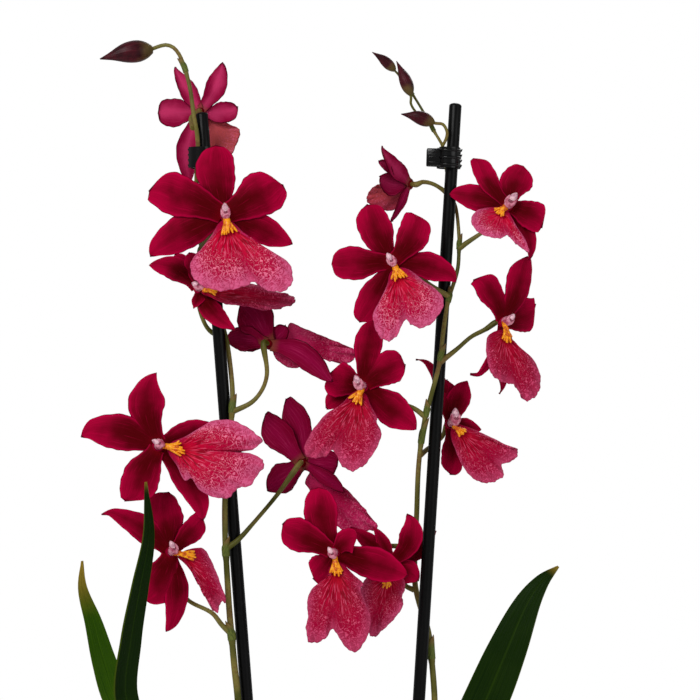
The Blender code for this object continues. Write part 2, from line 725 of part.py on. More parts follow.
leaf(1, [(307, 973, 6.5), (268, 905, 10), (205, 815, 5), (146, 742, 3), (117, 697, 2), (104.5, 662, 1.5), (93.5, 622, 1),
         (82.5, 588, 0.5), (81.5, 561, 0)], 37, (0.3, -1, 0.2), (0.1, -1, 0.05), widest=0.42)
leaf(2, [(314, 974, -3), (280, 915, -16), (215, 840, -32), (157, 768, -42), (126.5, 700, -48), (131, 640, -50),
         (140, 588, -50), (149, 535, -48), (145.5, 482, -46)], 27.5, (0.4, -1, 0.3), (0.75, -0.66, 0), widest=0.6)
leaf(3, [(358, 974, -4), (384, 915, -6), (422, 835, -8), (458, 758, -9), (486, 700, -10), (507, 650, -10),
         (527, 604, -9), (542, 581, -8), (558, 566, -7)], 44, (-0.2, -1, 0.2), (-0.1, -1, 0.1), widest=0.66)
leaf(4, [(365, 974, 5), (392, 925, 12), (438, 862, 22), (496, 832, 30), (552, 852, 36)], 44,
     (-0.5, -0.6, 0.8), (-0.3, -0.2, 1), widest=0.5)
leaf(5, [(330, 978, 26), (302, 900, 38), (262, 825, 54), (232, 770, 66), (224, 746, 70)], 42,
     (0.4, -1, 0.3), (0.2, -1, 0.6), widest=0.5)
leaf(6, [(338, 978, 32), (368, 912, 44), (404, 852, 58), (446, 806, 70)], 40,
     (-0.2, -1, 0.5), (-0.1, -1, 1), widest=0.5)


# Bulbs: four flattened pseudobulbs on a creeping rhizome

def bulb(x, y, low, high, wide, deep, lean=0.0):
    bm = bmesh.new()
    bmesh.ops.create_uvsphere(bm, u_segments=8, v_segments=6, radius=1)
    for vert in bm.verts:
        up = (vert.co.z + 1) / 2
        slim = 1.12 - 0.42 * up
        vert.co = Vector((x + vert.co.x * wide * slim + lean * up, y + vert.co.y * deep * slim, low + (high - low) * up))
    return bm


rhizome = tube([Vector((-0.014, 0.003, 0.0955)), Vector((0, 0.006, 0.0952)), Vector((0.014, 0, 0.0955))], (4, 4.5, 4), 6, 2)
bulbs = fused(
    node("pseudobulbs", rhizome, BULB_GREEN, 0.4),
    [
        bulb(-0.0125, 0.002, 0.0925, 0.1620, 0.0105, 0.0085),
        bulb(0.0125, -0.001, 0.0925, 0.1620, 0.0105, 0.0085),
        bulb(0.0000, 0.0245, 0.0925, 0.1560, 0.0110, 0.0085, -0.001),
        bulb(-0.0010, -0.0215, 0.0925, 0.1380, 0.0100, 0.0080),
        tube([Vector((0, 0.006, 0.0952)), Vector((0, 0.015, 0.095)), Vector((0, 0.025, 0.0955))], (3.5, 3.5, 3.5), 6, 2),
        tube([Vector((0, 0.006, 0.0952)), Vector((0, -0.008, 0.095)), Vector((0, -0.021, 0.0955))], (3.5, 3.5, 3), 6, 2),
    ],
)


# Bark: fills the pot, with a rough top, a bed under the bulbs, and plain holes for stakes and spikes

def inner_radius(z):
    return POT_FOOT_RADIUS + (POT_TOP_RADIUS - 0.0035 - POT_FOOT_RADIUS) * z / POT_HEIGHT - POT_WALL


def bark():
    rough = random.Random(7)
    floor = POT_FLOOR + GAP
    snug = GAP + 0.0005
    radii = [(0.0, floor), (inner_radius(floor) - snug, floor), (inner_radius(BARK_TOP - 0.004) - snug, BARK_TOP - 0.004)]
    for share in (0.84, 0.58, 0.30, 0.0):
        radii.append((share * inner_radius(BARK_TOP), BARK_TOP))
    sides = 18

    def rule(share, turn):
        i = round(share * (len(radii) - 1))
        wide, high = radii[i]
        angle = math.pi * (turn + 1)
        return Vector((wide * math.cos(angle), wide * math.sin(angle), high))

    bm = laid(len(radii) - 1, sides, rule)
    bmesh.ops.recalc_face_normals(bm, faces=bm.faces[:])
    for vert in bm.verts:
        if vert.co.z > BARK_TOP - 0.001:
            vert.co.z += rough.uniform(-0.0022, 0.0022)
    obj = node("bark", bm, BARK_BROWN, 0.9)
    stem_hole = [2.6] * 3
    holes = [
        tube([stake_at(201.7, 112, 0.0770, 0, v) for v in (1261, 1160, 1060)], [3.4] * 3, 10, 1),
        tube([stake_at(455.6, 103, -0.0615, 0, v) for v in (1261, 1160, 1060)], [3.4] * 3, 10, 1),
        tube(sheet_path([(279.2, 1152, -9.1), (274, 1100, -8), (266, 1050, -6.2)]), stem_hole, 7, 2),
        tube(sheet_path([(390.8, 1152, -10.1), (396, 1100, -9), (403, 1050, -7.6)]), stem_hole, 7, 2),
    ]
    for x, y in ((-0.0125, 0.002), (0.0125, -0.001), (-0.0002, 0.0245), (-0.0010, -0.0215)):
        bm = bmesh.new()
        bmesh.ops.create_cone(bm, cap_ends=True, segments=10, radius1=1, radius2=1, depth=1)
        for vert in bm.verts:
            vert.co = Vector((x + vert.co.x * 0.0118, y + vert.co.y * 0.0098, 0.100 + vert.co.z * 0.018))
        holes.append(bm)
    holes.append(box(Vector((0, 0.0035, 0.1005)), (0.034, 0.0165, 0.020)))
    holes.append(box(Vector((0, 0.002, 0.1005)), (0.0095, 0.050, 0.020)))
    return fused(obj, holes, "DIFFERENCE")


bark()


# Pot: a plain tapered nursery pot with a rolled rim, a flat foot and four drain holes

def pot():
    profile = [
        (0.0, 0.0), (POT_FOOT_RADIUS, 0.0),
        (POT_TOP_RADIUS - 0.0042, POT_HEIGHT - 0.012), (POT_TOP_RADIUS - 0.0006, POT_HEIGHT - 0.0115),
        (POT_TOP_RADIUS, POT_HEIGHT - 0.0008), (POT_TOP_RADIUS - 0.0008, POT_HEIGHT),
        (POT_TOP_RADIUS - 0.0040, POT_HEIGHT), (POT_TOP_RADIUS - 0.0035 - POT_WALL, POT_HEIGHT - 0.0016),
        (inner_radius(POT_FLOOR), POT_FLOOR), (0.0, POT_FLOOR),
    ]
    sides = 24

    def rule(share, turn):
        wide, high = profile[round(share * (len(profile) - 1))]
        angle = math.pi * (turn + 1)
        return Vector((wide * math.cos(angle), wide * math.sin(angle), high))

    obj = node("pot", laid(len(profile) - 1, sides, rule), BLACK, 0.45)
    holes = []
    for k in range(4):
        angle = math.tau * (k + 0.5) / 4
        spot = Vector((0.025 * math.cos(angle), 0.025 * math.sin(angle), 0.001))
        bm = bmesh.new()
        bmesh.ops.create_cone(bm, cap_ends=True, segments=8, radius1=0.004, radius2=0.004, depth=0.008)
        bmesh.ops.translate(bm, verts=bm.verts[:], vec=spot)
        holes.append(bm)
    return fused(obj, holes, "DIFFERENCE")


pot()
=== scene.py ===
"""Looks of a flowering oncidium orchid in its pot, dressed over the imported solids.

Units are metres, +Z is up and the front is -Y. The plant is laid out on an upright sheet through the
stakes, as an eye 1.2 m in front of it sees it. U counts half millimetres to the right and V counts
them down, with the pot's foot at (336, 1300). A third number is the depth in millimetres behind the
sheet, along the line of sight.
"""

import math
import random
from itertools import zip_longest

import bmesh
import bpy
from mathutils import Matrix, Vector


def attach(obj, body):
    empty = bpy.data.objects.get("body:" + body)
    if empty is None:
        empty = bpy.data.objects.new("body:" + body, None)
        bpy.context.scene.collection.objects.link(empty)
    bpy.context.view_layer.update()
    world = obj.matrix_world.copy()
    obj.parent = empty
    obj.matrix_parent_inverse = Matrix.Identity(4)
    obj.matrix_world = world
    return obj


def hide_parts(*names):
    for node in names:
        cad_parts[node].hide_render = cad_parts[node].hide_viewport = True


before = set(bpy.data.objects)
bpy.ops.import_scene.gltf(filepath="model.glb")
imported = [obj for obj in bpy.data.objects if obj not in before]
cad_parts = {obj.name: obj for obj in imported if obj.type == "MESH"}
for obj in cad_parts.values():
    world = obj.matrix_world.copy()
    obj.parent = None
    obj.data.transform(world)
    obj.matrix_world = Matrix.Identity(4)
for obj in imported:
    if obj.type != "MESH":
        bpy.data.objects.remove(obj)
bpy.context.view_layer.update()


# The eye: a long lens level with the blooms, 1.2 m in front of the sheet that the plant is laid out
# on. It sees 0.35 m of the sheet each way, from the buds down to the middle of the leaves.

MM = 0.001
SHEET = 0.0005
FOOT_U, FOOT_V = 336, 1300
EYE = Vector((0.007, -1.2, 0.475))
SEEN = 0.35

eye = bpy.data.objects.new("eye", bpy.data.cameras.new("eye"))
eye.location = EYE
eye.rotation_euler = (math.pi / 2, 0, 0)
eye.data.lens = eye.data.sensor_width * -EYE.y / SEEN
bpy.context.scene.collection.objects.link(eye)
bpy.context.scene.camera = eye


# The pot: a black nursery pot blow-moulded in one piece, satin outside, with a rolled rim, two ribs
# under it, and drain holes through its foot. It is turned from one profile.

POT_HEIGHT = 0.112
POT_TOP_RADIUS = 0.060
POT_FOOT_RADIUS = 0.043
POT_WALL = 0.0018
POT_FLOOR = 0.003
FOOT_ROUNDING = 0.0012
RIM_PROUD = 0.0035
RIM_HEIGHT = 0.012
RIBS_AT = (0.088, 0.093)
RIB = ((0, 0), (0.0007, 0.0007), (0.0007, 0.0017), (0, 0.0024))
DRAIN_HOLES = 4
DRAIN_RADIUS = 0.004
DRAIN_CIRCLE = 0.025


class Shade:
    """A shader's socket that sums are written with; each sum adds its Math node."""

    def __init__(self, finish, socket):
        self.finish, self.socket = finish, socket

    def maths(self, operation, *values):
        return self.finish.node("ShaderNodeMath", {"operation": operation}, dict(enumerate(values)))

    def __add__(self, other):
        return self.maths("ADD", self, other)

    def __sub__(self, other):
        return self.maths("SUBTRACT", self, other)

    def __rsub__(self, other):
        return self.maths("SUBTRACT", other, self)

    def __mul__(self, other):
        return self.maths("MULTIPLY", self, other)

    def __pow__(self, other):
        return self.maths("POWER", self, other)

    __radd__ = __add__
    __rmul__ = __mul__

    def size(self):
        return self.maths("ABSOLUTE", self)

    def fade(self, low, high):
        """0 below low and 1 above high, with a soft step between; low may be the higher one."""
        ends = {0: self, 1: low, 2: high, 3: 0.0, 4: 1.0}
        return self.finish.node("ShaderNodeMapRange", {"interpolation_type": "SMOOTHSTEP"}, ends)

    def tinted(self, share, *colour):
        """This colour, with a share of another over it."""
        return self.finish.blend(share, self, colour)


class Finish:
    """A material: a Principled shader with its fixed values, and the nodes that vary its colour."""

    def __init__(self, name, **fixed):
        self.material = bpy.data.materials.new(name)
        self.material.use_nodes = True
        self.tree = self.material.node_tree
        self.shader = self.tree.nodes["Principled BSDF"]
        for socket, value in fixed.items():
            self.shader.inputs[socket.replace("_", " ")].default_value = value

    def node(self, kind, settings=None, values=None, output=0):
        made = self.tree.nodes.new(kind)
        for setting, value in (settings or {}).items():
            setattr(made, setting, value)
        for socket, value in (values or {}).items():
            if isinstance(value, Shade):
                self.tree.links.new(value.socket, made.inputs[socket])
            else:
                made.inputs[socket].default_value = value
        return Shade(self, made.outputs[output])

    def place(self):
        return self.node("ShaderNodeTexCoord", output="Object")

    def pulled(self, upright):
        """The place with its height scaled, so that a pattern on it is drawn out up and down."""
        return self.node("ShaderNodeMapping", values={"Vector": self.place(), "Scale": (1.0, 1.0, upright)})

    def height(self):
        return self.node("ShaderNodeSeparateXYZ", values={0: self.place()}, output=2)

    def read(self, attribute):
        return self.node("ShaderNodeAttribute", {"attribute_name": attribute}, output="Fac")

    def noise(self, scale, detail=2.0, distortion=0.0, where=None):
        values = {"Vector": where or self.place(), "Scale": scale, "Detail": detail, "Distortion": distortion}
        return self.node("ShaderNodeTexNoise", values=values)

    def lines(self, lengthways, across, scale=1.0, detail=2.0, distortion=0.0):
        """Noise over a piece's own length and width, each scaled to draw it out into lines."""
        spot = self.node("ShaderNodeCombineXYZ", values={0: lengthways, 1: across})
        return self.noise(scale, detail, distortion, spot)

    def blend(self, share, first, second):
        colours = [colour if isinstance(colour, Shade) else paint(*colour) for colour in (first, second)]
        values = {"Factor": share, 6: colours[0], 7: colours[1]}
        return self.node("ShaderNodeMix", {"data_type": "RGBA"}, values, output=2)

    def set(self, socket, value):
        self.tree.links.new(value.socket, self.shader.inputs[socket])

    def relief(self, height, depth, strength=1.0):
        values = {"Height": height, "Distance": depth, "Strength": strength}
        self.set("Normal", self.node("ShaderNodeBump", values=values))


def paint(red, green, blue):
    return tuple((level / 255) ** 2.2 for level in (red, green, blue)) + (1.0,)


def finished(name, bm, slot, finishes, *replaced, crease=50):
    mesh = bpy.data.meshes.new(name)
    bm.to_mesh(mesh)
    bm.free()
    mesh.shade_smooth()
    mesh.set_sharp_from_angle(angle=math.radians(crease))
    for finish in finishes:
        mesh.materials.append(finish.material)
    piece = bpy.data.objects.new(name, mesh)
    bpy.context.scene.collection.objects.link(piece)
    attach(piece, "root")
    if replaced:
        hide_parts(*replaced)
    return piece


def turned(profile, sides):
    bm = bmesh.new()
    rings = [bm.verts.new((radius, 0, height)) for radius, height in profile]
    edges = [bm.edges.new(pair) for pair in zip(rings, rings[1:])]
    bmesh.ops.spin(
        bm, geom=rings + edges, cent=(0, 0, 0), axis=(0, 0, 1), angle=math.tau, steps=sides, use_merge=True
    )
    bmesh.ops.remove_doubles(bm, verts=bm.verts[:], dist=1e-6)
    bmesh.ops.recalc_face_normals(bm, faces=bm.faces[:])
    return bm


def pot_plastic():
    finish = Finish("pot plastic", Specular_IOR_Level=0.30)
    dust = finish.noise(90.0, 5.0).fade(0.50, 0.78)
    finish.set("Base Color", finish.blend(dust * 0.20, (20, 20, 22), (104, 96, 86)))
    finish.set("Roughness", 0.40 + dust * 0.25 + finish.noise(600.0) * 0.08)
    finish.relief(finish.noise(1400.0, 3.0), 0.00012, 0.5)
    return finish


def inner_radius(height):
    return POT_FOOT_RADIUS + (POT_TOP_RADIUS - RIM_PROUD - POT_FOOT_RADIUS) * height / POT_HEIGHT - POT_WALL


def pot_profile():
    foot, lip, top = POT_FOOT_RADIUS, POT_TOP_RADIUS, POT_HEIGHT
    slope = (lip - 0.0042 - foot) / (top - RIM_HEIGHT)
    points = [(0.0, 0.0)]
    for step in range(5):
        turn = math.pi / 2 * step / 4
        points.append((foot - FOOT_ROUNDING * (1 - math.sin(turn)), FOOT_ROUNDING * (1 - math.cos(turn))))
    for low in RIBS_AT:
        wide = foot + slope * low
        points += [(wide + out, low + up) for out, up in RIB]
    points += [(lip - 0.0044, top - 0.0122), (lip - 0.0012, top - 0.0118), (lip - 0.0006, top - 0.0112)]
    for step in range(9):
        turn = math.pi * step / 8
        points.append((lip - POT_WALL * (1 - math.cos(turn)), top - POT_WALL * (1 - math.sin(turn))))
    points += [(inner_radius(top), top - 0.0040), (inner_radius(0) - 0.001, POT_FLOOR + 0.001)]
    return points + [(inner_radius(0) - 0.002, POT_FLOOR), (0.0, POT_FLOOR)]


def pot():
    piece = finished("pot_shell", turned(pot_profile(), 96), "pot", [pot_plastic()], "pot", crease=40)
    drills = bmesh.new()
    for hole in range(DRAIN_HOLES):
        turn = math.tau * (hole + 0.5) / DRAIN_HOLES
        spot = Matrix.Translation((DRAIN_CIRCLE * math.cos(turn), DRAIN_CIRCLE * math.sin(turn), 0.001))
        bmesh.ops.create_cone(
            drills, cap_ends=True, segments=24, radius1=DRAIN_RADIUS, radius2=DRAIN_RADIUS, depth=0.008,
            matrix=spot,
        )
    mesh = bpy.data.meshes.new("drills")
    drills.to_mesh(mesh)
    drills.free()
    drill = bpy.data.objects.new("drills", mesh)
    bpy.context.scene.collection.objects.link(drill)
    cut = piece.modifiers.new("drain", "BOOLEAN")
    cut.operation, cut.object = "DIFFERENCE", drill
    graph = bpy.context.evaluated_depsgraph_get()
    whole = bpy.data.meshes.new_from_object(piece.evaluated_get(graph))
    piece.modifiers.clear()
    piece.data = whole
    bpy.data.objects.remove(drill)


pot()


# The bark: chips of pine bark poured round the bulbs to 12 mm under the rim. Each is a torn block,
# red brown inside and grey on its weathered face, lying over a bed that fills the pot.

BARK_TOP = 0.100
CHIPS = 520


def pine_bark():
    finish = Finish("pine bark", Roughness=0.9, Specular_IOR_Level=0.2)
    grain = finish.noise(420.0, 6.0, where=finish.pulled(4.0))
    tone = finish.read("tone") * 0.8 + finish.noise(75.0, 3.0) * 0.2
    brown = finish.blend(tone.fade(0.15, 0.85), (38, 22, 16), (138, 84, 52))
    finish.set("Base Color", brown.tinted(grain.fade(0.5, 0.75) * tone * 0.9, 176, 150, 126))
    finish.relief(grain, 0.0007)
    return finish


def bark():
    pick = random.Random(11)
    bm = bmesh.new()
    reach = inner_radius(BARK_TOP) - 0.0012
    bmesh.ops.create_cone(
        bm, cap_ends=True, segments=48, radius1=inner_radius(0.004) - 0.0010, radius2=reach,
        depth=BARK_TOP - 0.0055, matrix=Matrix.Translation((0, 0, (BARK_TOP + 0.0015) / 2)),
    )
    tone = bm.faces.layers.float.new("tone")
    for _ in range(CHIPS):
        chip = bmesh.ops.create_cube(bm, size=1)["verts"]
        size = Vector((pick.uniform(4, 12), pick.uniform(3, 7), pick.uniform(1.6, 3.4))) * MM
        shade = pick.random()
        far, turn = (reach - size.x / 2 - 0.0006) * math.sqrt(pick.random()), pick.uniform(0, math.tau)
        high = BARK_TOP - 0.0030 + 0.0032 * pick.random()
        spin = Matrix.Rotation(pick.uniform(0, math.tau), 3, "Z")
        spin = spin @ Matrix.Rotation(pick.gauss(0, 0.35), 3, "X")
        spin = spin @ Matrix.Rotation(pick.gauss(0, 0.3), 3, "Y")
        spot = Vector((far * math.cos(turn), far * math.sin(turn), high))
        for vert in chip:
            torn = Vector([side * pick.uniform(0.6, 1.05) for side in vert.co])
            vert.co = spot + spin @ (torn * size)
            for part in vert.link_faces:
                part[tone] = shade
    finished("bark_chips", bm, "bark", [pine_bark()], "bark", crease=30)


bark()


# The stakes: two steel rods coated in black plastic, 6 mm thick with domed tops, pushed through the
# bark to hold the spikes up. The coat has a fine pull along the rod and a few scuffs.

STAKE_RADIUS = 0.0031
STAKE_SIDES = 32
STAKE_FOOT_V = 1260
STAKES = {"stake_left": (201.7, 112, 0.0770), "stake_right": (455.6, 103, -0.0615)}


def place(u, v, depth):
    on_sheet = Vector(((u - FOOT_U) * SHEET, 0, (FOOT_V - v) * SHEET))
    return EYE + (on_sheet - EYE) * (1 - depth * MM / EYE.y)


def along(points, share):
    """A smooth curve through points, read at a share of its length."""
    lengths = [(b - a).length for a, b in zip(points, points[1:])]
    left = min(max(share, 0), 1) * sum(lengths)
    for i, length in enumerate(lengths):
        if left <= length or i == len(lengths) - 1:
            break
        left -= length
    t = min(left / length, 1)
    b, c = points[i], points[i + 1]
    a = points[i - 1] if i else b * 2 - c
    d = points[i + 2] if i + 2 < len(points) else c * 2 - b
    leave = (c - a) * (length / ((b - a).length + length))
    arrive = (d - b) * (length / ((d - c).length + length))
    return (
        b * (2 * t**3 - 3 * t**2 + 1) + leave * (t**3 - 2 * t**2 + t)
        + c * (3 * t**2 - 2 * t**3) + arrive * (t**3 - t**2)
    )


def heading(points, share, step=0.01):
    return (along(points, min(share + step, 1)) - along(points, max(share - step, 0))).normalized()


def between(values, share):
    """Values set evenly along a length, read at a share of it."""
    step = share * (len(values) - 1)
    k = min(int(step), len(values) - 2)
    return values[k] + (values[k + 1] - values[k]) * (step - k)


def merged(bm, made):
    """Moves a made mesh into bm, or hands it on where there is no bm yet."""
    if bm is None:
        return made
    mesh = bpy.data.meshes.new("made")
    made.to_mesh(mesh)
    made.free()
    bm.from_mesh(mesh)
    bpy.data.meshes.remove(mesh)
    return bm


def numbered(bm, index):
    for part in bm.faces:
        part.material_index = index
    return bm


def thickened(sheet, thickness):
    """Makes a sheet a closed shell, with its copy moved back along the normals of its points."""
    new = bmesh.ops.extrude_face_region(sheet, geom=sheet.faces[:])["geom"]
    sheet.normal_update()
    for vert in new:
        if isinstance(vert, bmesh.types.BMVert):
            vert.co -= vert.normal * thickness
    bmesh.ops.reverse_faces(sheet, faces=sheet.faces[:])
    sheet.normal_update()


def laid(rows, columns, rule, thickness=0, bm=None):
    """A sheet of rows by columns laid by a rule; its shares of length and width stay on its points."""
    sheet = bmesh.new()
    share_layer = sheet.verts.layers.float.new("share")
    across_layer = sheet.verts.layers.float.new("across")
    bmesh.ops.create_grid(sheet, x_segments=rows, y_segments=columns, size=1)
    for vert in sheet.verts:
        share, across = (vert.co.x + 1) / 2, vert.co.y
        vert[share_layer], vert[across_layer] = share, across
        vert.co = rule(share, across)
    bmesh.ops.remove_doubles(sheet, verts=sheet.verts[:], dist=1e-6)
    if thickness:
        thickened(sheet, thickness)
    return merged(bm, sheet)


def rod(points, radii, sides, rings, bm=None, swell=None):
    """A round rod along a curve, closed at both ends."""
    frames = []
    side = Vector((0.31, -0.17, 0.93))
    for ring in range(rings + 1):
        share = ring / rings
        ahead = heading(points, share)
        side = (side - ahead * side.dot(ahead)).normalized()
        wide = between(radii, share) * MM
        frames.append((along(points, share), side * wide, ahead.cross(side) * wide))

    def rule(share, turn):
        here, across, up = frames[round(share * rings)]
        more = swell(share, turn) if swell else 1
        return here + (across * math.cos(math.pi * turn) + up * math.sin(math.pi * turn)) * more

    tube = laid(rings, sides, rule)
    bmesh.ops.holes_fill(tube, edges=[e for e in tube.edges if e.is_boundary], sides=sides)
    bmesh.ops.recalc_face_normals(tube, faces=tube.faces[:])
    return merged(bm, tube)


def stake_coat():
    finish = Finish("black coat", Specular_IOR_Level=0.12)
    streak = finish.noise(2200.0, 3.0, where=finish.pulled(0.05))
    scuff = finish.noise(160.0, 6.0, 1.2).fade(0.66, 0.80)
    finish.set("Base Color", finish.blend(scuff * 0.20, (4, 4, 5), (52, 52, 56)))
    finish.set("Roughness", 0.30 + streak * 0.12 + scuff * 0.2)
    finish.relief(streak, 0.00006)
    return finish


def stake(name, finish):
    u, top_v, lean = STAKES[name]
    foot, top = (place(u + lean * (v - top_v), v, 0) for v in (STAKE_FOOT_V, top_v))
    ahead = (top - foot).normalized()
    dome = STAKE_RADIUS * 0.45
    neck = top - ahead * dome
    bm = rod([foot, foot.lerp(top, 0.5), neck], [STAKE_RADIUS / MM] * 3, STAKE_SIDES, 24)

    def above(spot):
        return (spot - neck).dot(ahead) > -1e-6

    cap = [f for f in bm.faces if all(above(v.co) for v in f.verts)]
    for step in range(4):
        turn, next_turn = math.pi / 8 * step, math.pi / 8 * (step + 1)
        rise = dome * (math.sin(next_turn) - math.sin(turn))
        raised = bmesh.ops.extrude_face_region(bm, geom=cap)["geom"]
        cap = [f for f in raised if isinstance(f, bmesh.types.BMFace)]
        discs = [f for f in bm.faces if len(f.verts) == STAKE_SIDES and f not in cap]
        under = [f for f in discs if above(f.calc_center_median())]
        bmesh.ops.delete(bm, geom=under, context="FACES_ONLY")
        middle = cap[0].calc_center_median()
        for vert in cap[0].verts:
            narrower = max(math.cos(next_turn) / math.cos(turn), 0.12)
            vert.co = middle + (vert.co - middle) * narrower + ahead * rise
    finished(f"{name}_rod", bm, "stake", [finish], name, crease=60)


coat = stake_coat()
for name in STAKES:
    stake(name, coat)


# The clips: small black claw clips that hold a spike to its stake. Each is two moulded jaws closed
# round rod and stem, with thumb tabs on one side, teeth on the other and a spring in the hinge.

CLIP_JAW = ((5.4, 2.0), (3.4, 5.2), (0.0, 6.1), (-3.2, 5.0), (-5.6, 2.2))
CLIP_HALF_HEIGHT = 5.2
JAW_THICK = 0.9 * MM
TAB_SIZE = (0.0074, 0.0013, 0.0088)
GRIP_SIZE = (0.0056, 0.0006, 0.0007)


def clouded(name, scale, first, second, ends=None, depth=None, **fixed):
    """A finish that drifts between two colours with one noise, which can lift the surface too."""
    finish = Finish(name, **fixed)
    cloud = finish.noise(scale)
    finish.set("Base Color", finish.blend(cloud.fade(*ends) if ends else cloud, first, second))
    if depth:
        finish.relief(cloud, depth)
    return finish


def clip_plastic():
    finish = clouded("clip plastic", 300.0, (3, 3, 4), (12, 12, 14), Roughness=0.20, Specular_IOR_Level=0.22)
    finish.relief(finish.noise(900.0, 3.0), 0.0001, 0.6)
    return finish


def rounded_box(bm, spot, size, turn, round_off):
    box = bmesh.new()
    bmesh.ops.create_cube(box, size=1)
    for vert in box.verts:
        vert.co = vert.co * Vector(size)
    bmesh.ops.bevel(
        box, geom=box.edges[:], offset=round_off, segments=3, affect="EDGES", profile=0.5, material=-1,
        clamp_overlap=True,
    )
    bmesh.ops.transform(box, matrix=Matrix.Translation(spot) @ turn.to_4x4(), verts=box.verts[:])
    merged(bm, box)


def clip(name, middle, side, turn, finishes):
    tilt = Matrix.Rotation(turn, 3, "Y")
    centre = place(*middle)
    right, back, up = (tilt @ Vector(axis) * MM for axis in ((side, 0, 0), (0, 1, 0), (0, 0, 1)))

    def at(x, y, z):
        return centre + right * x + back * y + up * z

    bm = bmesh.new()
    for face in (-1, 1):
        for level in (-3.6, 0.0, 3.6):
            rod([at(x, face * y, level) for x, y in CLIP_JAW], (0.7, 0.8, 0.8, 0.75, 0.6), 10, 24, bm)
        bow = [at(x, face * y, 0) for x, y in CLIP_JAW]

        def shell(share, across):
            return along(bow, 0.04 + 0.92 * share) + up * across * CLIP_HALF_HEIGHT + back * face * 0.2

        laid(24, 8, shell, JAW_THICK, bm)
        splay = tilt @ Matrix.Rotation(-face * side * 0.16, 3, "Z")
        rounded_box(bm, at(7.6, face * 2.9, 0), TAB_SIZE, splay, 0.0006)
        for level in (-2.6, 0.0, 2.6):
            rounded_box(bm, at(7.6, face * 3.6, level), GRIP_SIZE, splay, 0.00025)
    for tooth in range(4):
        high, face = 3.9 - 2.6 * tooth, 1 if tooth % 2 else -1
        points = [at(-4.6, face * 1.2, high), at(-5.6, face * 0.6, high - 0.3), at(-6.5, 0, high + 0.6)]
        rod(points, (0.9, 0.7, 0.22), 8, 8, bm)
    coil = []
    for step in range(25):
        wound = math.tau * step / 8
        coil.append(at(4.4 + 1.1 * math.cos(wound), 1.1 * math.sin(wound), 0.30 * step - 3.6))
    merged(bm, numbered(rod(coil, (0.28, 0.28), 6, 96), 1))
    finished(f"{name}_claw", bm, "clip", finishes, name, crease=45)


spring_steel = clouded("spring steel", 500.0, (92, 94, 98), (150, 152, 156), Metallic=1.0, Roughness=0.3)
clip_finishes = [clip_plastic(), spring_steel]
clip("clip_left", (201, 158, -2), 1, 0.0, clip_finishes)
clip("clip_right", (449, 158, 0), -1, 0.03, clip_finishes)


# The bulbs: four flattened pseudobulbs, swollen stems that stand side by side on a creeping rhizome.
# They are waxy green with shallow ribs, and dry papery sheaths wrap their feet.

BULBS = (
    (-0.0125, 0.002, 0.0925, 0.1620, 0.0105, 0.0085, 0.0),
    (0.0125, -0.001, 0.0925, 0.1620, 0.0105, 0.0085, 0.0),
    (0.0, 0.0245, 0.0925, 0.1560, 0.0110, 0.0085, -0.001),
    (-0.0010, -0.0215, 0.0925, 0.1380, 0.0100, 0.0080, 0.0),
)
RHIZOME = (
    ([(-0.014, 0.003, 0.0955), (0, 0.006, 0.0952), (0.014, 0, 0.0955)], (4, 4.5, 4), 12),
    ([(0, 0.025, 0.0955), (0, 0.006, 0.0952), (0, -0.021, 0.0955)], (3.5, 3.6, 3), 20),
)
SHEATHS_TALL = (0.034, 0.026, 0.020)


def bulb_skin():
    finish = Finish("bulb skin", Roughness=0.34, Specular_IOR_Level=0.5)
    fleck = finish.noise(500.0, 3.0).fade(0.60, 0.72)
    green = finish.blend(finish.noise(60.0, 4.0).fade(0.35, 0.65), (96, 116, 44), (140, 152, 72))
    green = green.tinted(finish.height().fade(0.128, 0.100) * 0.7, 150, 122, 66)
    finish.set("Base Color", green.tinted(fleck * 0.4, 82, 52, 34))
    finish.relief(finish.noise(700.0, 3.0), 0.0001)
    return finish


def dry_sheath():
    finish = Finish("dry sheath", Roughness=0.75, Specular_IOR_Level=0.25)
    fibre = finish.noise(1500.0, 3.0, where=finish.pulled(0.06))
    finish.set("Base Color", finish.blend(fibre.fade(0.35, 0.65), (124, 94, 62), (188, 164, 124)))
    finish.relief(fibre, 0.0002)
    return finish


def bulb_width(up):
    return 1.10 - 0.42 * up


def bulbs():
    bm = bmesh.new()
    for x, y, low, high, wide, deep, lean in BULBS:
        swollen = bmesh.new()
        bmesh.ops.create_uvsphere(swollen, u_segments=48, v_segments=32, radius=1)
        for vert in swollen.verts:
            up = (vert.co.z + 1) / 2
            turn = math.atan2(vert.co.y, vert.co.x)
            slim = bulb_width(up) * (1 + 0.028 * math.cos(11 * turn) * math.sin(math.pi * up))
            vert.co.x = x + vert.co.x * wide * slim + lean * up
            vert.co.y = y + vert.co.y * deep * slim
            vert.co.z = low + (high - low) * up
        merged(bm, swollen)
    for points, radii, rings in RHIZOME:
        rod([Vector(p) for p in points], radii, 16, rings, bm)
    finished("bulb_cluster", bm, "bulb", [bulb_skin()], "pseudobulbs")


def sheaths():
    bm = bmesh.new()
    for number, (x, y, low, high, wide, deep, _) in enumerate(BULBS):
        for wrap, tall in enumerate(SHEATHS_TALL):
            facing = 2.1 * wrap + 1.3 * number

            def sheath(share, across):
                up = 0.16 + share * tall / (high - low)
                turn = facing + across * (1.5 * (1 - share**2.2) + 0.04)
                spread = 2 * math.sqrt(up * (1 - up)) * bulb_width(up) + 0.07 + 0.05 * share**4 + 0.02 * wrap
                ragged = 0.0010 * math.sin(9 * across + number) * share
                top = low + (high - low) * up + ragged
                return Vector((x + wide * spread * math.cos(turn), y + deep * spread * math.sin(turn), top))

            laid(14, 14, sheath, 0.0003, bm)
    bmesh.ops.recalc_face_normals(bm, faces=bm.faces[:])
    finished("bulb_sheaths", bm, "bulb", [dry_sheath()])


bulbs()
sheaths()


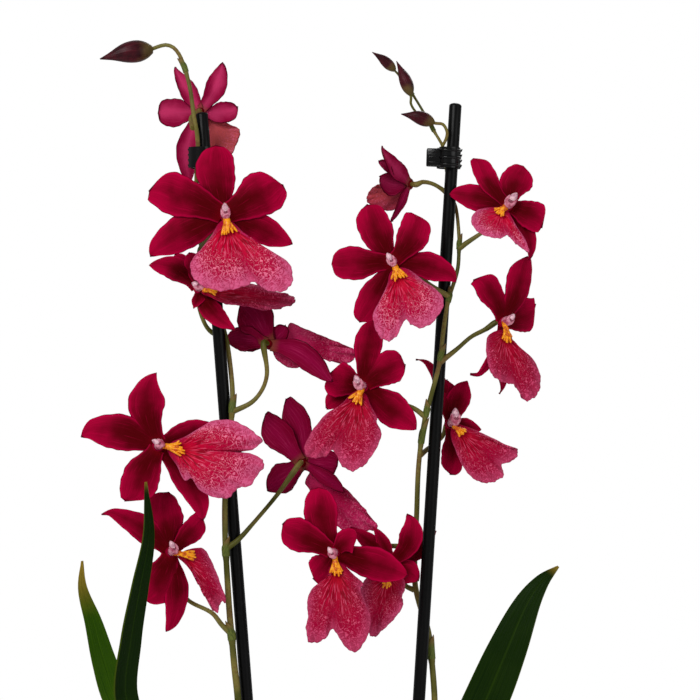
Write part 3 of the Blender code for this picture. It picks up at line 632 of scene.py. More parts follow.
# The leaves: six straps that rise from the tops of the bulbs, folded along the midrib. They are
# tough, satin and dark green, with fine veins along them and a yellowing tip on the oldest.

LEAF_THICK = 0.9 * MM
LEAF_FOLD = 0.16


def sheet_path(points):
    return [place(*p) for p in points]


def leaf_skin(name, deep, light, tip):
    finish = Finish(name, Specular_IOR_Level=0.05)
    share, across = finish.read("share"), finish.read("across")
    veins, blotch = finish.lines(share * 5.0, across * 26.0), finish.noise(28.0, 4.0)
    rib = across.size().fade(0.10, 0.0)
    green = finish.blend(veins.fade(0.35, 0.68) * 0.55 + blotch.fade(0.4, 0.65) * 0.35, deep, light)
    green = green.tinted(rib * 0.10, 74, 104, 20).tinted(across.size().fade(0.955, 1.0) * 0.3, 92, 108, 24)
    finish.set("Base Color", green.tinted((share + blotch * 0.05).fade(tip, 1.035), 142, 118, 44))
    finish.set("Roughness", 0.30 + blotch * 0.16)
    finish.relief(veins - rib * 0.6, 0.00035, 0.8)
    return finish


def leaf(number, route, width, face_low, face_high, finish, widest):
    """A leaf along a route, with the way that its face looks at its foot and at its tip."""
    points = sheet_path(route)
    low, high = Vector(face_low), Vector(face_high)

    def rule(share, across):
        ahead = heading(points, share, 0.02)
        wide = low.lerp(high, share).cross(ahead).normalized()
        face = ahead.cross(wide)
        stalk = max(0, 1 - share / 0.16) ** 2
        half = (0.34 + 0.66 * math.sin(math.pi / 2 * min(share / widest, 1))) * (1 - 0.45 * stalk)
        if share > widest:
            half = max((1 - ((share - widest) / (1 - widest)) ** 1.9) ** 0.8, 0.03)
        half *= width / 2 * SHEET
        sink = (LEAF_FOLD * (1.6 - 1.3 * share) + 0.9 * stalk) * (math.sqrt(across * across + 0.012) - 0.11)
        ripple = 0.0005 * across * abs(across) * math.sin(9 * share + number)
        return along(points, share) + wide * across * half + face * (half * sink + ripple)

    blade = laid(90, 18, rule, LEAF_THICK)
    finished(f"leaf_{number}_blade", blade, "leaf", [finish], f"leaf_{number}", crease=70)


dark_leaf = leaf_skin("dark leaf", (16, 34, 0), (28, 46, 0), 1.0)
bright_leaf = leaf_skin("bright leaf", (32, 60, 0), (62, 92, 0), 0.90)
leaf(
    1, [(309, 979, 4.6), (304, 966, 6.8), (268, 905, 10), (205, 815, 5), (146, 742, 3), (117, 697, 2),
        (104.5, 662, 1.5), (93.5, 622, 1), (82.5, 588, 0.5), (81.5, 561, 0)],
    37, (0.3, -1, 0.2), (0.1, -1, 0.05), bright_leaf, 0.42,
)
leaf(
    2, [(312.5, 979, -0.8), (310.5, 966, -3.5), (280, 915, -16), (215, 840, -32), (157, 768, -42),
        (126.5, 700, -48), (131, 640, -50), (140, 588, -50), (149, 535, -48), (145.5, 482, -46)],
    27.5, (0.4, -1, 0.3), (0.75, -0.66, 0), dark_leaf, 0.6,
)
leaf(
    3, [(361, 980, -2.4), (363, 966, -4.0), (384, 915, -6), (422, 835, -8), (458, 758, -9), (486, 700, -10),
        (507, 650, -10), (527, 604, -9), (542, 581, -8), (558, 566, -7)],
    44, (-0.2, -1, 0.2), (-0.1, -1, 0.1), dark_leaf, 0.66,
)
leaf(
    4, [(363.5, 979, 1.6), (369, 966, 6.3), (392, 925, 12), (438, 862, 22), (496, 832, 30), (552, 852, 36)],
    44, (-0.5, -0.6, 0.8), (-0.3, -0.2, 1), bright_leaf, 0.5,
)
leaf(
    5, [(331.5, 984, 25.5), (328, 971, 28), (302, 900, 38), (262, 825, 54), (232, 770, 66), (224, 746, 70)],
    42, (0.4, -1, 0.3), (0.2, -1, 0.6), dark_leaf, 0.5,
)
leaf(
    6, [(336, 984, 30), (341, 971, 33.5), (368, 912, 44), (404, 852, 58), (446, 806, 70)],
    40, (-0.2, -1, 0.5), (-0.1, -1, 1), dark_leaf, 0.5,
)


# The spikes: two flower stems that lean on the stakes, smooth and olive, flecked with brown. A dry
# bract wraps each joint, where a pedicel leaves for its bloom and swells into a grooved ovary.

HUB_DEEP = 2.2 * MM
PEDICEL = (1.15, 1.25, 1.15, 1.05, 1.05, 1.25, 1.5)
LEFT_STEM = [
    (149, 50.2, 1), (155, 47.9, 1), (160, 46, 0.5), (167, 45, 0), (174, 48, -1), (180, 56, -1.5),
    (186, 72, -2.4), (190.5, 91, -3.2), (194, 117, -4.4), (196.8, 132, -4.9), (198, 150, -3.9),
    (196.5, 178, -1), (198, 215, 2), (203, 250, 5.5), (211, 285, 6.4), (221, 320, 5.8), (227, 343, 4.6),
    (231, 373, 2.6), (232.5, 393, -1.5), (232, 413, -4.8), (229, 450, -6.2), (225, 498, -5.6),
    (225, 534, -4.8), (226, 556, -4.4), (229.3, 610, -4), (232, 640, -4.2), (234.5, 667, -4.2),
    (238, 700, -4.4), (244, 800, -4), (250, 900, -4), (260, 1000, -5), (268, 1060, -6.5), (274, 1100, -8),
    (279, 1150, -9)
]
RIGHT_STEM = [
    (391.5, 68.0, 1.8), (397, 72.8, 2.4), (402, 80, 4.6), (413, 95, 5), (424, 113, 2), (434, 131, -2.2),
    (443, 147, -2.6), (443.6, 157, 1), (446, 168, 4.3), (448, 181, 5.2), (451, 195, 5.2), (456, 208, 4.4),
    (459, 236, 0.5), (459, 249, 0), (457.5, 270, -1.5), (448, 302, -5), (443, 334, -5.6), (440, 361, -5.4),
    (431, 396, -4.8), (425.5, 416, -2.5), (421, 443, 0), (418.2, 472, 3), (416.6, 516, 8), (415, 550, 9.5),
    (415, 583, 8.5), (419.5, 604, 7), (428, 630, 6), (431.6, 659, 4), (434.6, 700, 2), (436, 800, 0),
    (425, 900, -3), (411, 1000, -6), (402, 1060, -8), (396, 1100, -9), (391, 1150, -10)
]


def stem_skin():
    finish = Finish("stem skin", Roughness=0.42, Specular_IOR_Level=0.18)
    patch, fleck = finish.noise(34.0, 3.0), finish.noise(850.0, 3.0)
    green = finish.blend(patch.fade(0.35, 0.65), (66, 68, 18), (122, 112, 56))
    finish.set("Base Color", green.tinted((patch + fleck * 0.35).fade(0.68, 0.84) * 0.65, 92, 58, 36))
    finish.relief(fleck, 0.00015)
    return finish


def bract_skin():
    finish = Finish("bract skin", Roughness=0.6, Specular_IOR_Level=0.3)
    share = finish.read("share")
    line = finish.lines(share * 3.0, finish.read("across") * 22.0)
    green = finish.blend(line.fade(0.4, 0.6), (62, 74, 16), (98, 106, 40))
    finish.set("Base Color", green.tinted((share + line * 0.25).fade(0.55, 1.0), 118, 92, 50))
    finish.relief(line, 0.0002)
    return finish


class Flower:
    """A bloom's place and the way it looks, with a plane through its middle square to that look."""

    def __init__(self, u, v, depth, look):
        self.middle = place(u, v, depth)
        self.look = Vector(look).normalized()

    def on_plane(self, u, v, lift, look=None, start=None):
        look = look or self.look
        start = start or self.middle
        sight = place(u, v, 0) - EYE
        return EYE + sight * ((lift * MM + (start - EYE).dot(look)) / sight.dot(look))


flowers = {
    1: Flower(200.7, 112, 15, (0.10, 1, 0.05)),
    2: Flower(225, 215, -22, (0.04, -1, 0.04)),
    3: Flower(199, 288, -6, (-0.15, -0.8, 0.55)),
    4: Flower(270, 344, 0, (0.5, 0.85, -0.1)),
    5: Flower(158, 446, -25, (0.12, -1, 0.06)),
    6: Flower(171, 552, -13, (0.32, -1, 0.05)),
    7: Flower(302, 463, 6, (0.15, 1, -0.05)),
    8: Flower(409, 184, 3, (-0.6, 0.78, 0.1)),
    9: Flower(508, 206, -10, (-0.08, -1, 0.12)),
    10: Flower(393, 262, -22, (0.0, -1, 0.05)),
    11: Flower(503, 322, -8, (0.5, -0.85, 0.0)),
    12: Flower(363, 386, -10, (0.0, -1, 0.04)),
    13: Flower(450, 424, 12, (0.25, -1, 0.1)),
    14: Flower(334, 552, -25, (0.04, -1, 0.0)),
    15: Flower(391, 563, 1, (-0.1, -1, 0.05)),
}


def grooved(share, turn):
    near = max(0, 1 - share / 0.30)
    return 1 + 0.22 * math.sin(math.pi * min(near, 1)) * (1 + 0.35 * math.cos(3 * math.pi * turn))


def pedicel(number, route):
    flower = flowers[number]
    start, near = (flower.middle - flower.look * back for back in (HUB_DEEP - 0.6 * MM, 6 * MM))
    return [start, near] + sheet_path(route), PEDICEL


def bract(stem, share, radius, length, facing):
    """A sheath round the stem at one joint, with its point up on the side that the branch leaves."""
    points = [along(stem, share + length * step / 6) for step in range(7)]
    ahead = (points[-1] - points[0]).normalized()
    out = (facing - ahead * facing.dot(ahead)).normalized()
    side = ahead.cross(out)

    def rule(up, across):
        turn = across * math.pi * 0.98 * (1 - up**1.6)
        away = (radius + 0.16 + 0.5 * up**2) * MM
        return along(points, up) + out * away * math.cos(turn) + side * away * math.sin(turn)

    return laid(12, 16, rule, 0.22 * MM)


def spike(name, stem, radii, branches, joints, skins):
    points = sheet_path(stem)
    bm = rod(points, radii, 18, 260)
    for route, thick in branches:
        rod(route, thick, 14, 60, bm, grooved if thick == PEDICEL else None)
    lengths = [(b - a).length for a, b in zip(points, points[1:])]
    for u, v, length, side in joints:
        spot = min(range(len(points)), key=lambda i: (points[i] - place(u, v, stem[i][2])).length)
        share = sum(lengths[:spot]) / sum(lengths)
        wide = between(radii, share)
        knot = [along(points, share + step) for step in (-0.0045, 0.0, 0.0045)]
        rod(knot, (wide * 1.02, wide * 1.22, wide * 1.02), 18, 8, bm)
        wrap = bract(points, share, wide * 1.1, -length / sum(lengths) * MM, Vector((side, -0.5, 0)))
        merged(bm, numbered(wrap, 1))
    bmesh.ops.recalc_face_normals(bm, faces=bm.faces[:])
    finished(f"{name}_stem", bm, "stem", skins, name, crease=60)


skins = [stem_skin(), bract_skin()]
spike(
    "spike_left", LEFT_STEM, (0.95, 1.1, 1.2, 1.3, 1.5, 1.75, 2.0, 2.0, 2.0),
    [
        pedicel(1, [(191, 118, 3), (193, 128, -4.6)]),
        pedicel(2, [(211, 236, -10), (200, 249, -2.5), (201, 259, 4.5)]),
        pedicel(3, [(199, 305, 3), (205, 324, 4.5), (213, 333, 6.4), (223, 334, 5.6)]),
        pedicel(4, [(267, 372, -6), (263, 388, -5.5), (252, 402, -5), (232, 412, -4.8)]),
        pedicel(5, [(182, 462, -13), (205, 470, -8), (227, 469, -6)]),
        pedicel(6, [(176, 582, -4), (188, 600, -2), (212, 613, -4), (222, 625, -4.5), (233, 636, -3.8)]),
        pedicel(7, [(277, 495, -3), (250, 527, -5), (238, 540, -5), (226, 549, -4.2)]),
    ],
    [(186, 72, 8, -1), (203, 250, 9, 1), (221, 320, 9, -1), (232, 413, 10, 1), (229, 450, 9, -1),
     (226, 556, 10, 1), (232, 640, 10, -1), (250, 900, 14, 1)],
    skins,
)
bud_stalks = [
    (sheet_path([(410, 92, -0.9), (411, 97.5, -1), (411, 104, -1), (416, 112, -1), (423, 117, -0.6),
                 (430, 124, -0.8)]), (0.7, 0.6, 0.9)),
    (sheet_path([(430, 122.2, -5), (436, 123.3, -5), (443, 124.5, -5), (447, 132, -4.9), (446, 139, -4.2),
                 (442, 147, -2.6)]), (0.8, 0.75, 0.8)),
]
spike(
    "spike_right", RIGHT_STEM, (0.55, 0.8, 1.0, 1.2, 1.35, 1.5, 1.6, 1.7, 1.8, 1.9),
    bud_stalks + [
        pedicel(8, [(423, 182, 0.5), (433, 184, 3), (443, 190, 4.8), (450.5, 197, 5.2)]),
        pedicel(9, [(494, 224, -3), (480, 234, -1), (468, 242, 0), (458.5, 249, 0)]),
        pedicel(10, [(413, 272, -13), (432, 286, -9), (450, 297, -4.4)]),
        pedicel(11, [(486, 329, -3), (471, 337, -4), (457, 349, -5), (440.5, 362, -5.4)]),
        pedicel(12, [(388, 396, -4), (404, 404, -3.5), (415, 409, -3.2), (425.5, 417, -2.4)]),
        pedicel(13, [(442, 437, 13), (430, 447, 8), (420.5, 455, 1.5)]),
        pedicel(14, [(348, 550, -8), (357, 549.5, 5), (370, 548, 9), (388, 546, 10.5), (414, 547, 10.5)]),
        pedicel(15, [(399, 577, 7), (406, 586, 9), (414.2, 590, 8.4)]),
    ],
    [(413, 95, 6, -1), (434, 131, 7, 1), (459, 249, 8, 1), (448, 302, 8, -1), (440, 361, 9, 1),
     (425.5, 416, 9, -1), (421, 443, 14, 1), (415, 550, 10, -1), (431.6, 659, 12, 1), (425, 900, 14, -1)],
    skins,
)


# The blooms, which open from the foot of each spike up. Three sepals and two petals, thick as card
# and velvety, sit round a column; they are deep crimson in the heart, deepened there with painted
# shade, and rosier towards the margin, with a painted highlight band just inside it.

BLADE = 0.6 * MM
FORMS = {
    "petal": (0.46, 0.58, 2.5, 0.60),
    "sepal": (0.50, 0.50, 2.0, 0.78),
    "round": (0.44, 0.58, 2.7, 0.52),
    "blunt": (0.48, 0.62, 3.2, 0.50),
    "lance": (0.55, 0.42, 1.6, 0.92),
    "spade": (0.48, 0.60, 1.45, 0.95),
}


def velvet():
    finish = Finish(
        "velvet tepal", Specular_IOR_Level=0.02, Sheen_Weight=0.03, Sheen_Roughness=0.4,
        Sheen_Tint=(1.0, 0.0, 0.25, 1.0),
    )
    share, across, back = finish.read("share"), finish.read("across"), finish.read("back")
    edge, cloud = across.size(), finish.noise(95.0, 3.0)
    vein = finish.lines(share * 2.2 + cloud, across * 13.0)
    deep_vein = vein.fade(0.50, 0.72)
    # The dark heart, darker towards the foot and the midline: partly the tepals' own deep crimson, partly
    # painted shade round the column.
    heart = (edge * 0.28 + share * 0.68 + cloud * 0.60).fade(0.50, 1.24)
    face = finish.blend(heart, (78, 0, 14), (164, 0, 54))
    face = face.tinted(deep_vein * 0.28, 92, 0, 22).tinted(vein.fade(0.42, 0.30) * 0.22, 190, 0, 66)
    # A darker foot by the column: partly the foot's own crimson, partly painted shade.
    face = face.tinted(share.fade(0.16, 0.0) * 0.4, 128, 0, 24)
    old = finish.blend((edge * 0.5 + cloud * 0.6).fade(0.2, 0.9), (128, 12, 56), (112, 2, 40))
    fresh = finish.blend((edge * 0.5 + cloud * 0.9).fade(0.3, 1.0), (184, 50, 94), (132, 8, 52))
    behind = finish.blend(finish.height().fade(0.545, 0.58), old, fresh)
    behind = behind.tinted(deep_vein * 0.35, 176, 52, 96).tinted(share.fade(0.14, 0.0) * 0.5, 120, 84, 50)
    colour = finish.blend(back, face, behind)
    # A bright magenta band just inside the face's margin: partly the margin's own rosier colour, partly a
    # painted highlight.
    colour = colour.tinted(edge.fade(0.78, 0.92) * (0.35 - back * 0.35), 200, 10, 72)
    rim = (edge + share.fade(0.955, 1.0)).fade(0.94, 1.0)
    finish.set("Base Color", colour.tinted(rim * 0.8, 62, 0, 22))
    finish.set("Roughness", 0.50 + cloud * 0.16)
    finish.relief(vein * 0.7 + finish.noise(2600.0) * 0.30, 0.00035, 0.7)
    return finish


def half_width(form, share):
    claw, widest, power, blunt = FORMS[form]
    if share < widest:
        rise = math.sin(math.pi / 2 * share / widest)
        return claw + (1 - claw) * rise * rise
    point = 0.075 * max(0, 1 - share) ** 0.3 if share > 0.9 else 0
    return max((1 - ((share - widest) / (1 - widest)) ** power) ** blunt, point, 0.012)


def faced(sheet, look):
    """Marks the faces on a sheet's back, which have their own colours."""
    back = sheet.faces.layers.float.new("back")
    for part in sheet.faces:
        part[back] = 1.0 if part.normal.dot(look) < -0.05 else 0.0
    return sheet


def tepal(flower, u, v, lift, width, form, bend=0, arch=0, twist=0, end=(0, 0)):
    """One tepal, as its tip, the lift of it, its width and form; its end may hook and slant aside."""
    look = flower.look
    hook, slant = end
    base = 0.9 if form in ("petal", "blunt") else -0.5
    tip = flower.on_plane(u, v, lift)
    start = flower.middle + look * base * MM
    start = start + (tip - start).normalized() * 1.3 * MM
    side = Vector((0, -1, 0)).cross((tip - start).normalized()).normalized()
    handle = (start + tip) / 2 + (side * bend * SHEET + look * arch * MM) * 2
    phase = u * 0.37 + v * 0.61

    def rule(share, across):
        point = start * (1 - share) ** 2 + handle * 2 * share * (1 - share) + tip * share**2
        ahead = ((handle - start) * (1 - share) + (tip - handle) * share).normalized()
        face = Matrix.Rotation(math.radians(twist) * min(share * 2.5, 1), 3, ahead) @ look
        wide = face.cross(ahead).normalized()
        face = ahead.cross(wide)
        hand = phase + (1.7 if across > 0 else 0)
        nick = 0.040 * math.sin(11 * share + hand) + 0.018 * math.sin(37 * share + phase + hand)
        half = half_width(form, share) * width / 2 * SHEET * (1 + nick * min(1, (1 - share) * 8))
        keel = 0.35 * math.exp(-((across / 0.16) ** 2)) * math.sin(math.pi * share)
        wave = 0.65 * abs(across) ** 3 * share * math.sin(9 * share + hand)
        tail = max(0, (share - 0.84) / 0.16) ** 2
        point += wide * hook * SHEET * tail + ahead * slant * half * across * share**3
        rise = -0.20 * half * across * across + (wave - keel - 0.9 * max(0, (share - 0.9) / 0.1) ** 2) * MM
        return point + wide * across * half + face * rise

    return faced(laid(30, 14, rule, BLADE), look)


# Each lip: a broad waved apron below the column, the bloom's landing place. It is crimson at its
# foot, netted and at last flooded with pale pink towards its frilled margin.

def netted():
    finish = Finish(
        "netted lip", Specular_IOR_Level=0.04, Sheen_Weight=0.02, Sheen_Roughness=0.5,
        Sheen_Tint=(1.0, 0.5, 0.7, 1.0),
    )
    share, back, laced = finish.read("share"), finish.read("back"), finish.read("laced")
    ahead, aside = finish.read("ahead"), finish.read("aside")
    reach = (ahead * ahead + aside * aside) ** 0.5
    turn = aside.maths("ARCTAN2", aside, ahead)
    coarse = finish.lines(reach * 0.62, turn * 17.0, 0.85, 1.0, 1.0)
    fine = finish.lines(reach * 0.62 + 40.0, turn * 17.0, 1.7, 1.0, 0.8)
    streak = finish.lines(reach * 0.10, turn * 9.0, 1.0, 1.0)
    ray = finish.lines(reach * 0.16, turn * 22.0, 1.0, 1.0).fade(0.56, 0.64)
    cloud, far = finish.noise(70.0), reach.fade(4.0, 13.0)
    gap = (share.fade(0.28, 1.0) + (cloud - 0.5) * 0.5) * laced * (0.35 + far * 0.65)
    lace = (coarse - 0.5).size().fade(gap * 0.085 + 0.010, gap * 0.045)
    thread = (fine - 0.5).size().fade(gap * 0.055 + 0.002, gap * 0.030)
    lobes = aside.size().fade(0.3, 5.0) * 0.6 + 0.4
    net = (lace + thread * share.fade(0.45, 0.9) * 0.6) * share.fade(0.24, 0.46) * lobes * (0.3 + far * 0.7)
    red = finish.blend(share.fade(0.20, 0.9), (186, 0, 50), (164, 2, 60))
    red = red.tinted((laced.fade(0.95, 0.5) + (cloud - 0.5) * 1.2) * 0.55, 126, 0, 34)
    red = red.tinted(share.fade(0.30, 0.08) * 0.6, 168, 0, 28)
    red = red.tinted(streak.fade(0.50, 0.62) * share.fade(0.70, 0.20) * 0.85, 112, 0, 22)
    red = red.tinted(ray * share.fade(0.12, 0.30) * share.fade(0.66, 0.40) * 0.45, 240, 104, 140)
    pale = finish.blend(share.fade(0.50, 0.92), (250, 132, 156), (218, 98, 140))
    pale = pale.tinted(laced.fade(1.0, 0.6) * 0.65, 204, 54, 94)
    face = finish.blend(net.fade(0.0, 1.0) * 0.85, red, pale)
    face = face.tinted(share.fade(0.76, 0.99) * laced * far * 0.5, 212, 92, 134)
    behind = finish.blend(cloud.fade(0.35, 0.65), (150, 12, 58), (188, 40, 90))
    behind = behind.tinted(finish.height().fade(0.535, 0.56) * 0.7, 184, 84, 78)
    behind = behind.tinted(lace * 0.5, 226, 104, 142)
    colour = finish.blend(back, face, behind)
    finish.set("Base Color", colour.tinted(share.fade(0.985, 1.0) * 0.6, 104, 8, 46))
    finish.set("Roughness", 0.46 + cloud * 0.14)
    finish.relief(streak * 0.6 + lace * 0.35 + thread * 0.2, 0.0004, 0.8)
    return finish


class Lip:
    """A lip from its foot out to its outline, with a fold down the valley, a curled edge and waves."""

    def __init__(self, flower, foot, outline, look, valley, laced, lift=3.3, curl=3.0, wave=0.9, folds=5):
        self.flower, self.look = flower, Vector(look).normalized()
        self.start = flower.on_plane(*foot, lift)
        self.foot, self.outline = Vector(foot), [Vector(p) for p in outline]
        self.line = (Vector(valley) - self.foot).normalized()
        self.curl, self.wave, self.folds, self.laced = curl, wave, folds, laced
        self.ahead = (self.spot(self.foot + self.line * 10, 0) - self.start).normalized()
        self.aside = self.look.cross(self.ahead)

    def spot(self, where, lift):
        return self.flower.on_plane(where.x, where.y, lift, self.look, self.start)

    def edge(self, turn):
        """A smooth closed curve through the outline's points."""
        n = len(self.outline)
        step = turn % 1 * n
        i = int(step)
        t = step - i
        a, b, c, d = (self.outline[(i + k) % n] for k in (-1, 0, 1, 2))
        return (b * 2 + (c - a) * t + (a * 2 - b * 5 + c * 4 - d) * t**2 + (b * 3 - a - c * 3 + d) * t**3) / 2

    def point(self, share, turn):
        arm = self.edge(turn) - self.foot
        torn = 0.008 * math.sin(math.tau * 19 * turn) + 0.005 * math.sin(math.tau * 43 * turn + 1)
        way = arm * share * (1 + torn * share**5)
        reach = arm.length / 60
        lift = -self.curl * share**4 * min(reach, 1)
        lift += self.wave * share**3 * reach * math.sin(math.tau * self.folds * turn)
        lift += 0.75 * share**4 * reach * math.sin(math.tau * 13 * turn)
        lift += 0.22 * share**2 * reach * math.sin(math.tau * 23 * turn) * math.sin(9 * share + 20 * turn)
        off = (way - self.line * way.dot(self.line)).length
        if way.dot(self.line) > 0:
            lift -= 1.3 * share * math.exp(-((off / 6) ** 2))
        lift += 1.1 * math.sin(math.pi * share) * (1 - math.exp(-((off / 9) ** 2)))
        return self.spot(self.foot + way, lift)

    def blade(self):
        bm = laid(30, len(self.outline) * 9, lambda share, turn: self.point(share, (turn + 1) / 2 % 1))
        ahead, aside, laced = (bm.verts.layers.float.new(name) for name in ("ahead", "aside", "laced"))
        for vert in bm.verts:
            away = (vert.co - self.start) / MM
            vert[ahead], vert[aside], vert[laced] = away.dot(self.ahead), away.dot(self.aside), self.laced
        if sum(f.calc_area() * f.normal.dot(self.look) for f in bm.faces) < 0:
            bmesh.ops.reverse_faces(bm, faces=bm.faces[:])
        thickened(bm, BLADE)
        return faced(bm, self.look)


# Each callus: the orange crest on the lip's foot that guides insects in. It is a fan of waxy
# fingers, red brown in the grooves between them, grown on the lip.

FINGERS = 7
WARTS = 9


def ball(bm, spot, axes, index=0, taper=0.0):
    """A ball stretched along three axes, each given with its length, and slimmer at its upper end."""
    made = bmesh.new()
    bmesh.ops.create_uvsphere(made, u_segments=20, v_segments=14, radius=1)
    for vert in made.verts:
        slim = 1 - taper * max(0, -vert.co.y) ** 2
        vert.co = spot + axes[0] * vert.co.x * slim + axes[1] * vert.co.y + axes[2] * vert.co.z * slim
    bmesh.ops.recalc_face_normals(made, faces=made.faces[:])
    merged(bm, numbered(made, index))


def crest_wax():
    finish = Finish("crest wax", Roughness=0.36, Specular_IOR_Level=0.3)
    fleck = finish.noise(900.0, 3.0)
    gold = finish.blend(fleck.fade(0.35, 0.65), (214, 112, 2), (246, 164, 20))
    gold = gold.tinted(finish.read("share").fade(0.30, 0.0) * 0.7, 176, 40, 12)
    finish.set("Base Color", gold.tinted(fleck.fade(0.62, 0.72) * 0.5, 176, 52, 14))
    finish.relief(fleck, 0.00015)
    return finish


def callus(number, lip, start, end, width, finish, replaced):
    pick = random.Random(number)
    first = lip.spot(Vector(start) * 1.2 - Vector(end) * 0.2, 0.2)
    run = (lip.spot(Vector(end), 0.6) - first) * 1.08
    ahead, look = run.normalized(), lip.look * MM
    side = lip.look.cross(ahead)
    wide = side * width * SHEET
    pillar = [first, first + run * 0.3 + look * 1.2, first + run * 0.68 + look * 0.9]
    bm = rod(pillar, [width * SHEET / MM * thick for thick in (0.16, 0.19, 0.20, 0.16)], 16, 14)
    half = FINGERS // 2
    for finger in range(FINGERS):
        lean = (finger - half) / half + pick.uniform(-0.14, 0.14)
        long = pick.uniform(0.84, 1.08) - 0.14 * lean * lean
        root = first + run * 0.30 + wide * lean * 0.10 + look * 1.1
        knee = first + run * 0.60 + wide * lean * 0.25 + look * pick.uniform(1.3, 2.1)
        tip = first + run * long + wide * lean * 0.45 + look * pick.uniform(0.7, 1.5)
        rod([root, knee, tip], (0.5, 0.62, 0.66, 0.62, 0.60, 0.34), 10, 16, bm)
    for wart in range(WARTS):
        share = pick.uniform(0.12, 0.72)
        spot = first + run * share + wide * pick.uniform(-0.5, 0.5) * (0.22 + 0.4 * share) + look * 2.0
        swell = pick.uniform(0.45, 0.75)
        ball(bm, spot, (side * swell * MM, ahead * swell * 1.4 * MM, look * swell))
    bmesh.ops.recalc_face_normals(bm, faces=bm.faces[:])
    finished(f"crest_{number:02d}", bm, "callus", [finish], *replaced)


# Each column: the pale club over the callus that holds the pollen under a white cap, with a dark
# hollow below the cap, its darkness partly painted shade, and a small wing to each side.

def column_skin():
    finish = Finish("column skin", Roughness=0.38, Specular_IOR_Level=0.35)
    cloud = finish.noise(400.0, 3.0)
    pink = finish.blend(cloud.fade(0.35, 0.6), (158, 60, 88), (214, 140, 158))
    finish.set("Base Color", pink.tinted(cloud.fade(0.56, 0.66) * 0.5, 120, 14, 44))
    finish.relief(cloud, 0.0001)
    return finish


def column(number, flower, tip_at, foot_at, finishes):
    """The column, from its tip to the place where the callus starts."""
    look = flower.look
    tip, foot = flower.on_plane(*tip_at, 5.0), flower.on_plane(*foot_at, 3.0)
    down = foot - tip
    down = down - look * down.dot(look)
    size = min(max(down.length / 8.5, 0.8 * MM), 1.1 * MM)
    down, out = down.normalized() * size, look * size
    side = look.cross(down)
    heart = flower.middle + look * 0.5 * MM
    club = [heart, heart.lerp(tip + down * 5.0, 0.6), tip + down * 5.0 - out * 0.4]
    bm = rod(club, (2.0, 2.2, 2.4, 2.2), 20, 12)
    ball(bm, tip + down * 5.6, (side * 2.1, down * 2.8, out * 1.7))
    for hand in (-1, 1):
        wing = tip + down * 4.6 + side * hand * 1.8 + out * 0.3
        ball(bm, wing, (side * 0.8, down * 2.2, out * 1.2), taper=0.3)
    ball(bm, tip + down * 2.5 + out * 0.3, (side * 1.65, down * 2.6, out * 1.8), 1, 0.5)
    # The hollow below the cap: a small dark ball, partly the real hollow and partly painted shade under the
    # cap.
    ball(bm, tip + down * 4.9 + out * 1.35, (side * 1.1, down * 0.8, out * 0.7), 2)
    ball(bm, tip + down * 4.05 + out * 1.85, (side * 0.42, down * 0.5, out * 0.4), 3)
    finished(f"column_{number:02d}", bm, "lip", finishes)


tepal_finish, lip_finish, crest_finish = velvet(), netted(), crest_wax()
glossy = {"Roughness": 0.30, "Specular_IOR_Level": 0.5}
column_finishes = [
    column_skin(),
    clouded("anther cap", 620.0, (226, 182, 192), (178, 122, 142), ends=(0.35, 0.65), depth=0.0001, **glossy),
    # The hollow's dark finish: partly its own colour, partly painted shade.
    clouded("column hollow and painted shade", 900.0, (96, 24, 46), (140, 56, 80), Roughness=0.5),
    clouded("beak skin", 900.0, (228, 182, 192), (202, 150, 164), **glossy),
]


def bloom(number, tepals, ends, column_tip, lip_foot, outline, look, valley, laced, crown=None, **shape):
    """A bloom: its tepals and their ends, its column's tip, its lip, and its callus where it is a node."""
    flower = flowers[number]
    heart, out = flower.middle, flower.look
    bm = bmesh.new()
    for spec, end in zip_longest(tepals, ends, fillvalue=(0, 0)):
        merged(bm, tepal(flower, *spec, end=end))
    rod([heart - out * HUB_DEEP, heart, heart + out * 1.6 * MM], (1.5, 3.0, 2.2), 20, 8, bm)
    finished(f"bloom_{number:02d}", bm, "tepal", [tepal_finish], f"tepals_{number:02d}", crease=60)
    lip = Lip(flower, lip_foot, outline, look, valley, laced, **shape)
    finished(f"apron_{number:02d}", lip.blade(), "lip", [lip_finish], f"lip_{number:02d}", crease=70)
    replaced = [f"callus_{number:02d}"] if crown else []
    crown = crown or (lip.foot, lip.foot + lip.line * 12, 13)
    callus(number, lip, *crown, crest_finish, replaced)
    column(number, flower, column_tip, crown[0], column_finishes)


# The left spike's blooms, from the top down

bloom(
    1, [(174, 68, -2, 19, "lance", 0, 0, 20), (223, 62, -1, 21, "sepal", -4), (158, 113, 0, 29, "blunt"),
        (238, 108, 0, 22, "petal", -3), (190, 184, -2, 23, "sepal", -7)],
    [(2, 0), (0, 0), (0, 0), (-2, 0)],
    (203, 101), (210, 124), [(208, 117), (218, 116), (229, 124), (238, 128), (240, 135), (235, 148),
        (229, 161), (222, 172), (211, 172), (202, 160), (199, 143), (200, 128)],
    (0.1, 1, -0.25), valley=(229, 161), laced=0.7,
)

bloom(
    2, [(215, 145, -2, 39, "round", 3, 1), (151, 185, 0, 41, "blunt", -1, 1),
        (279, 180, 0, 44, "blunt", -2, 1), (149, 255, -3, 36, "sepal", -4, 1),
        (292, 245, -3, 28, "sepal", 2, 1)],
    [(0, -0.15), (7, 0.15), (-5, -0.05), (1, -0.3), (2, 0)],
    (224.5, 203), (227, 224), [(219, 223), (211, 236), (201, 249), (193, 258), (190, 268), (195, 280),
        (207, 288), (222, 291), (235, 289), (246, 286), (255, 282), (264, 289), (277, 292), (289, 288),
        (293, 275), (288, 262), (276, 254), (261, 244.5), (246, 235), (236, 225), (227, 219)],
    (0.04, -1, 0.38), valley=(255, 282), laced=1.05, crown=((226.5, 220), (229, 234), 19),
)

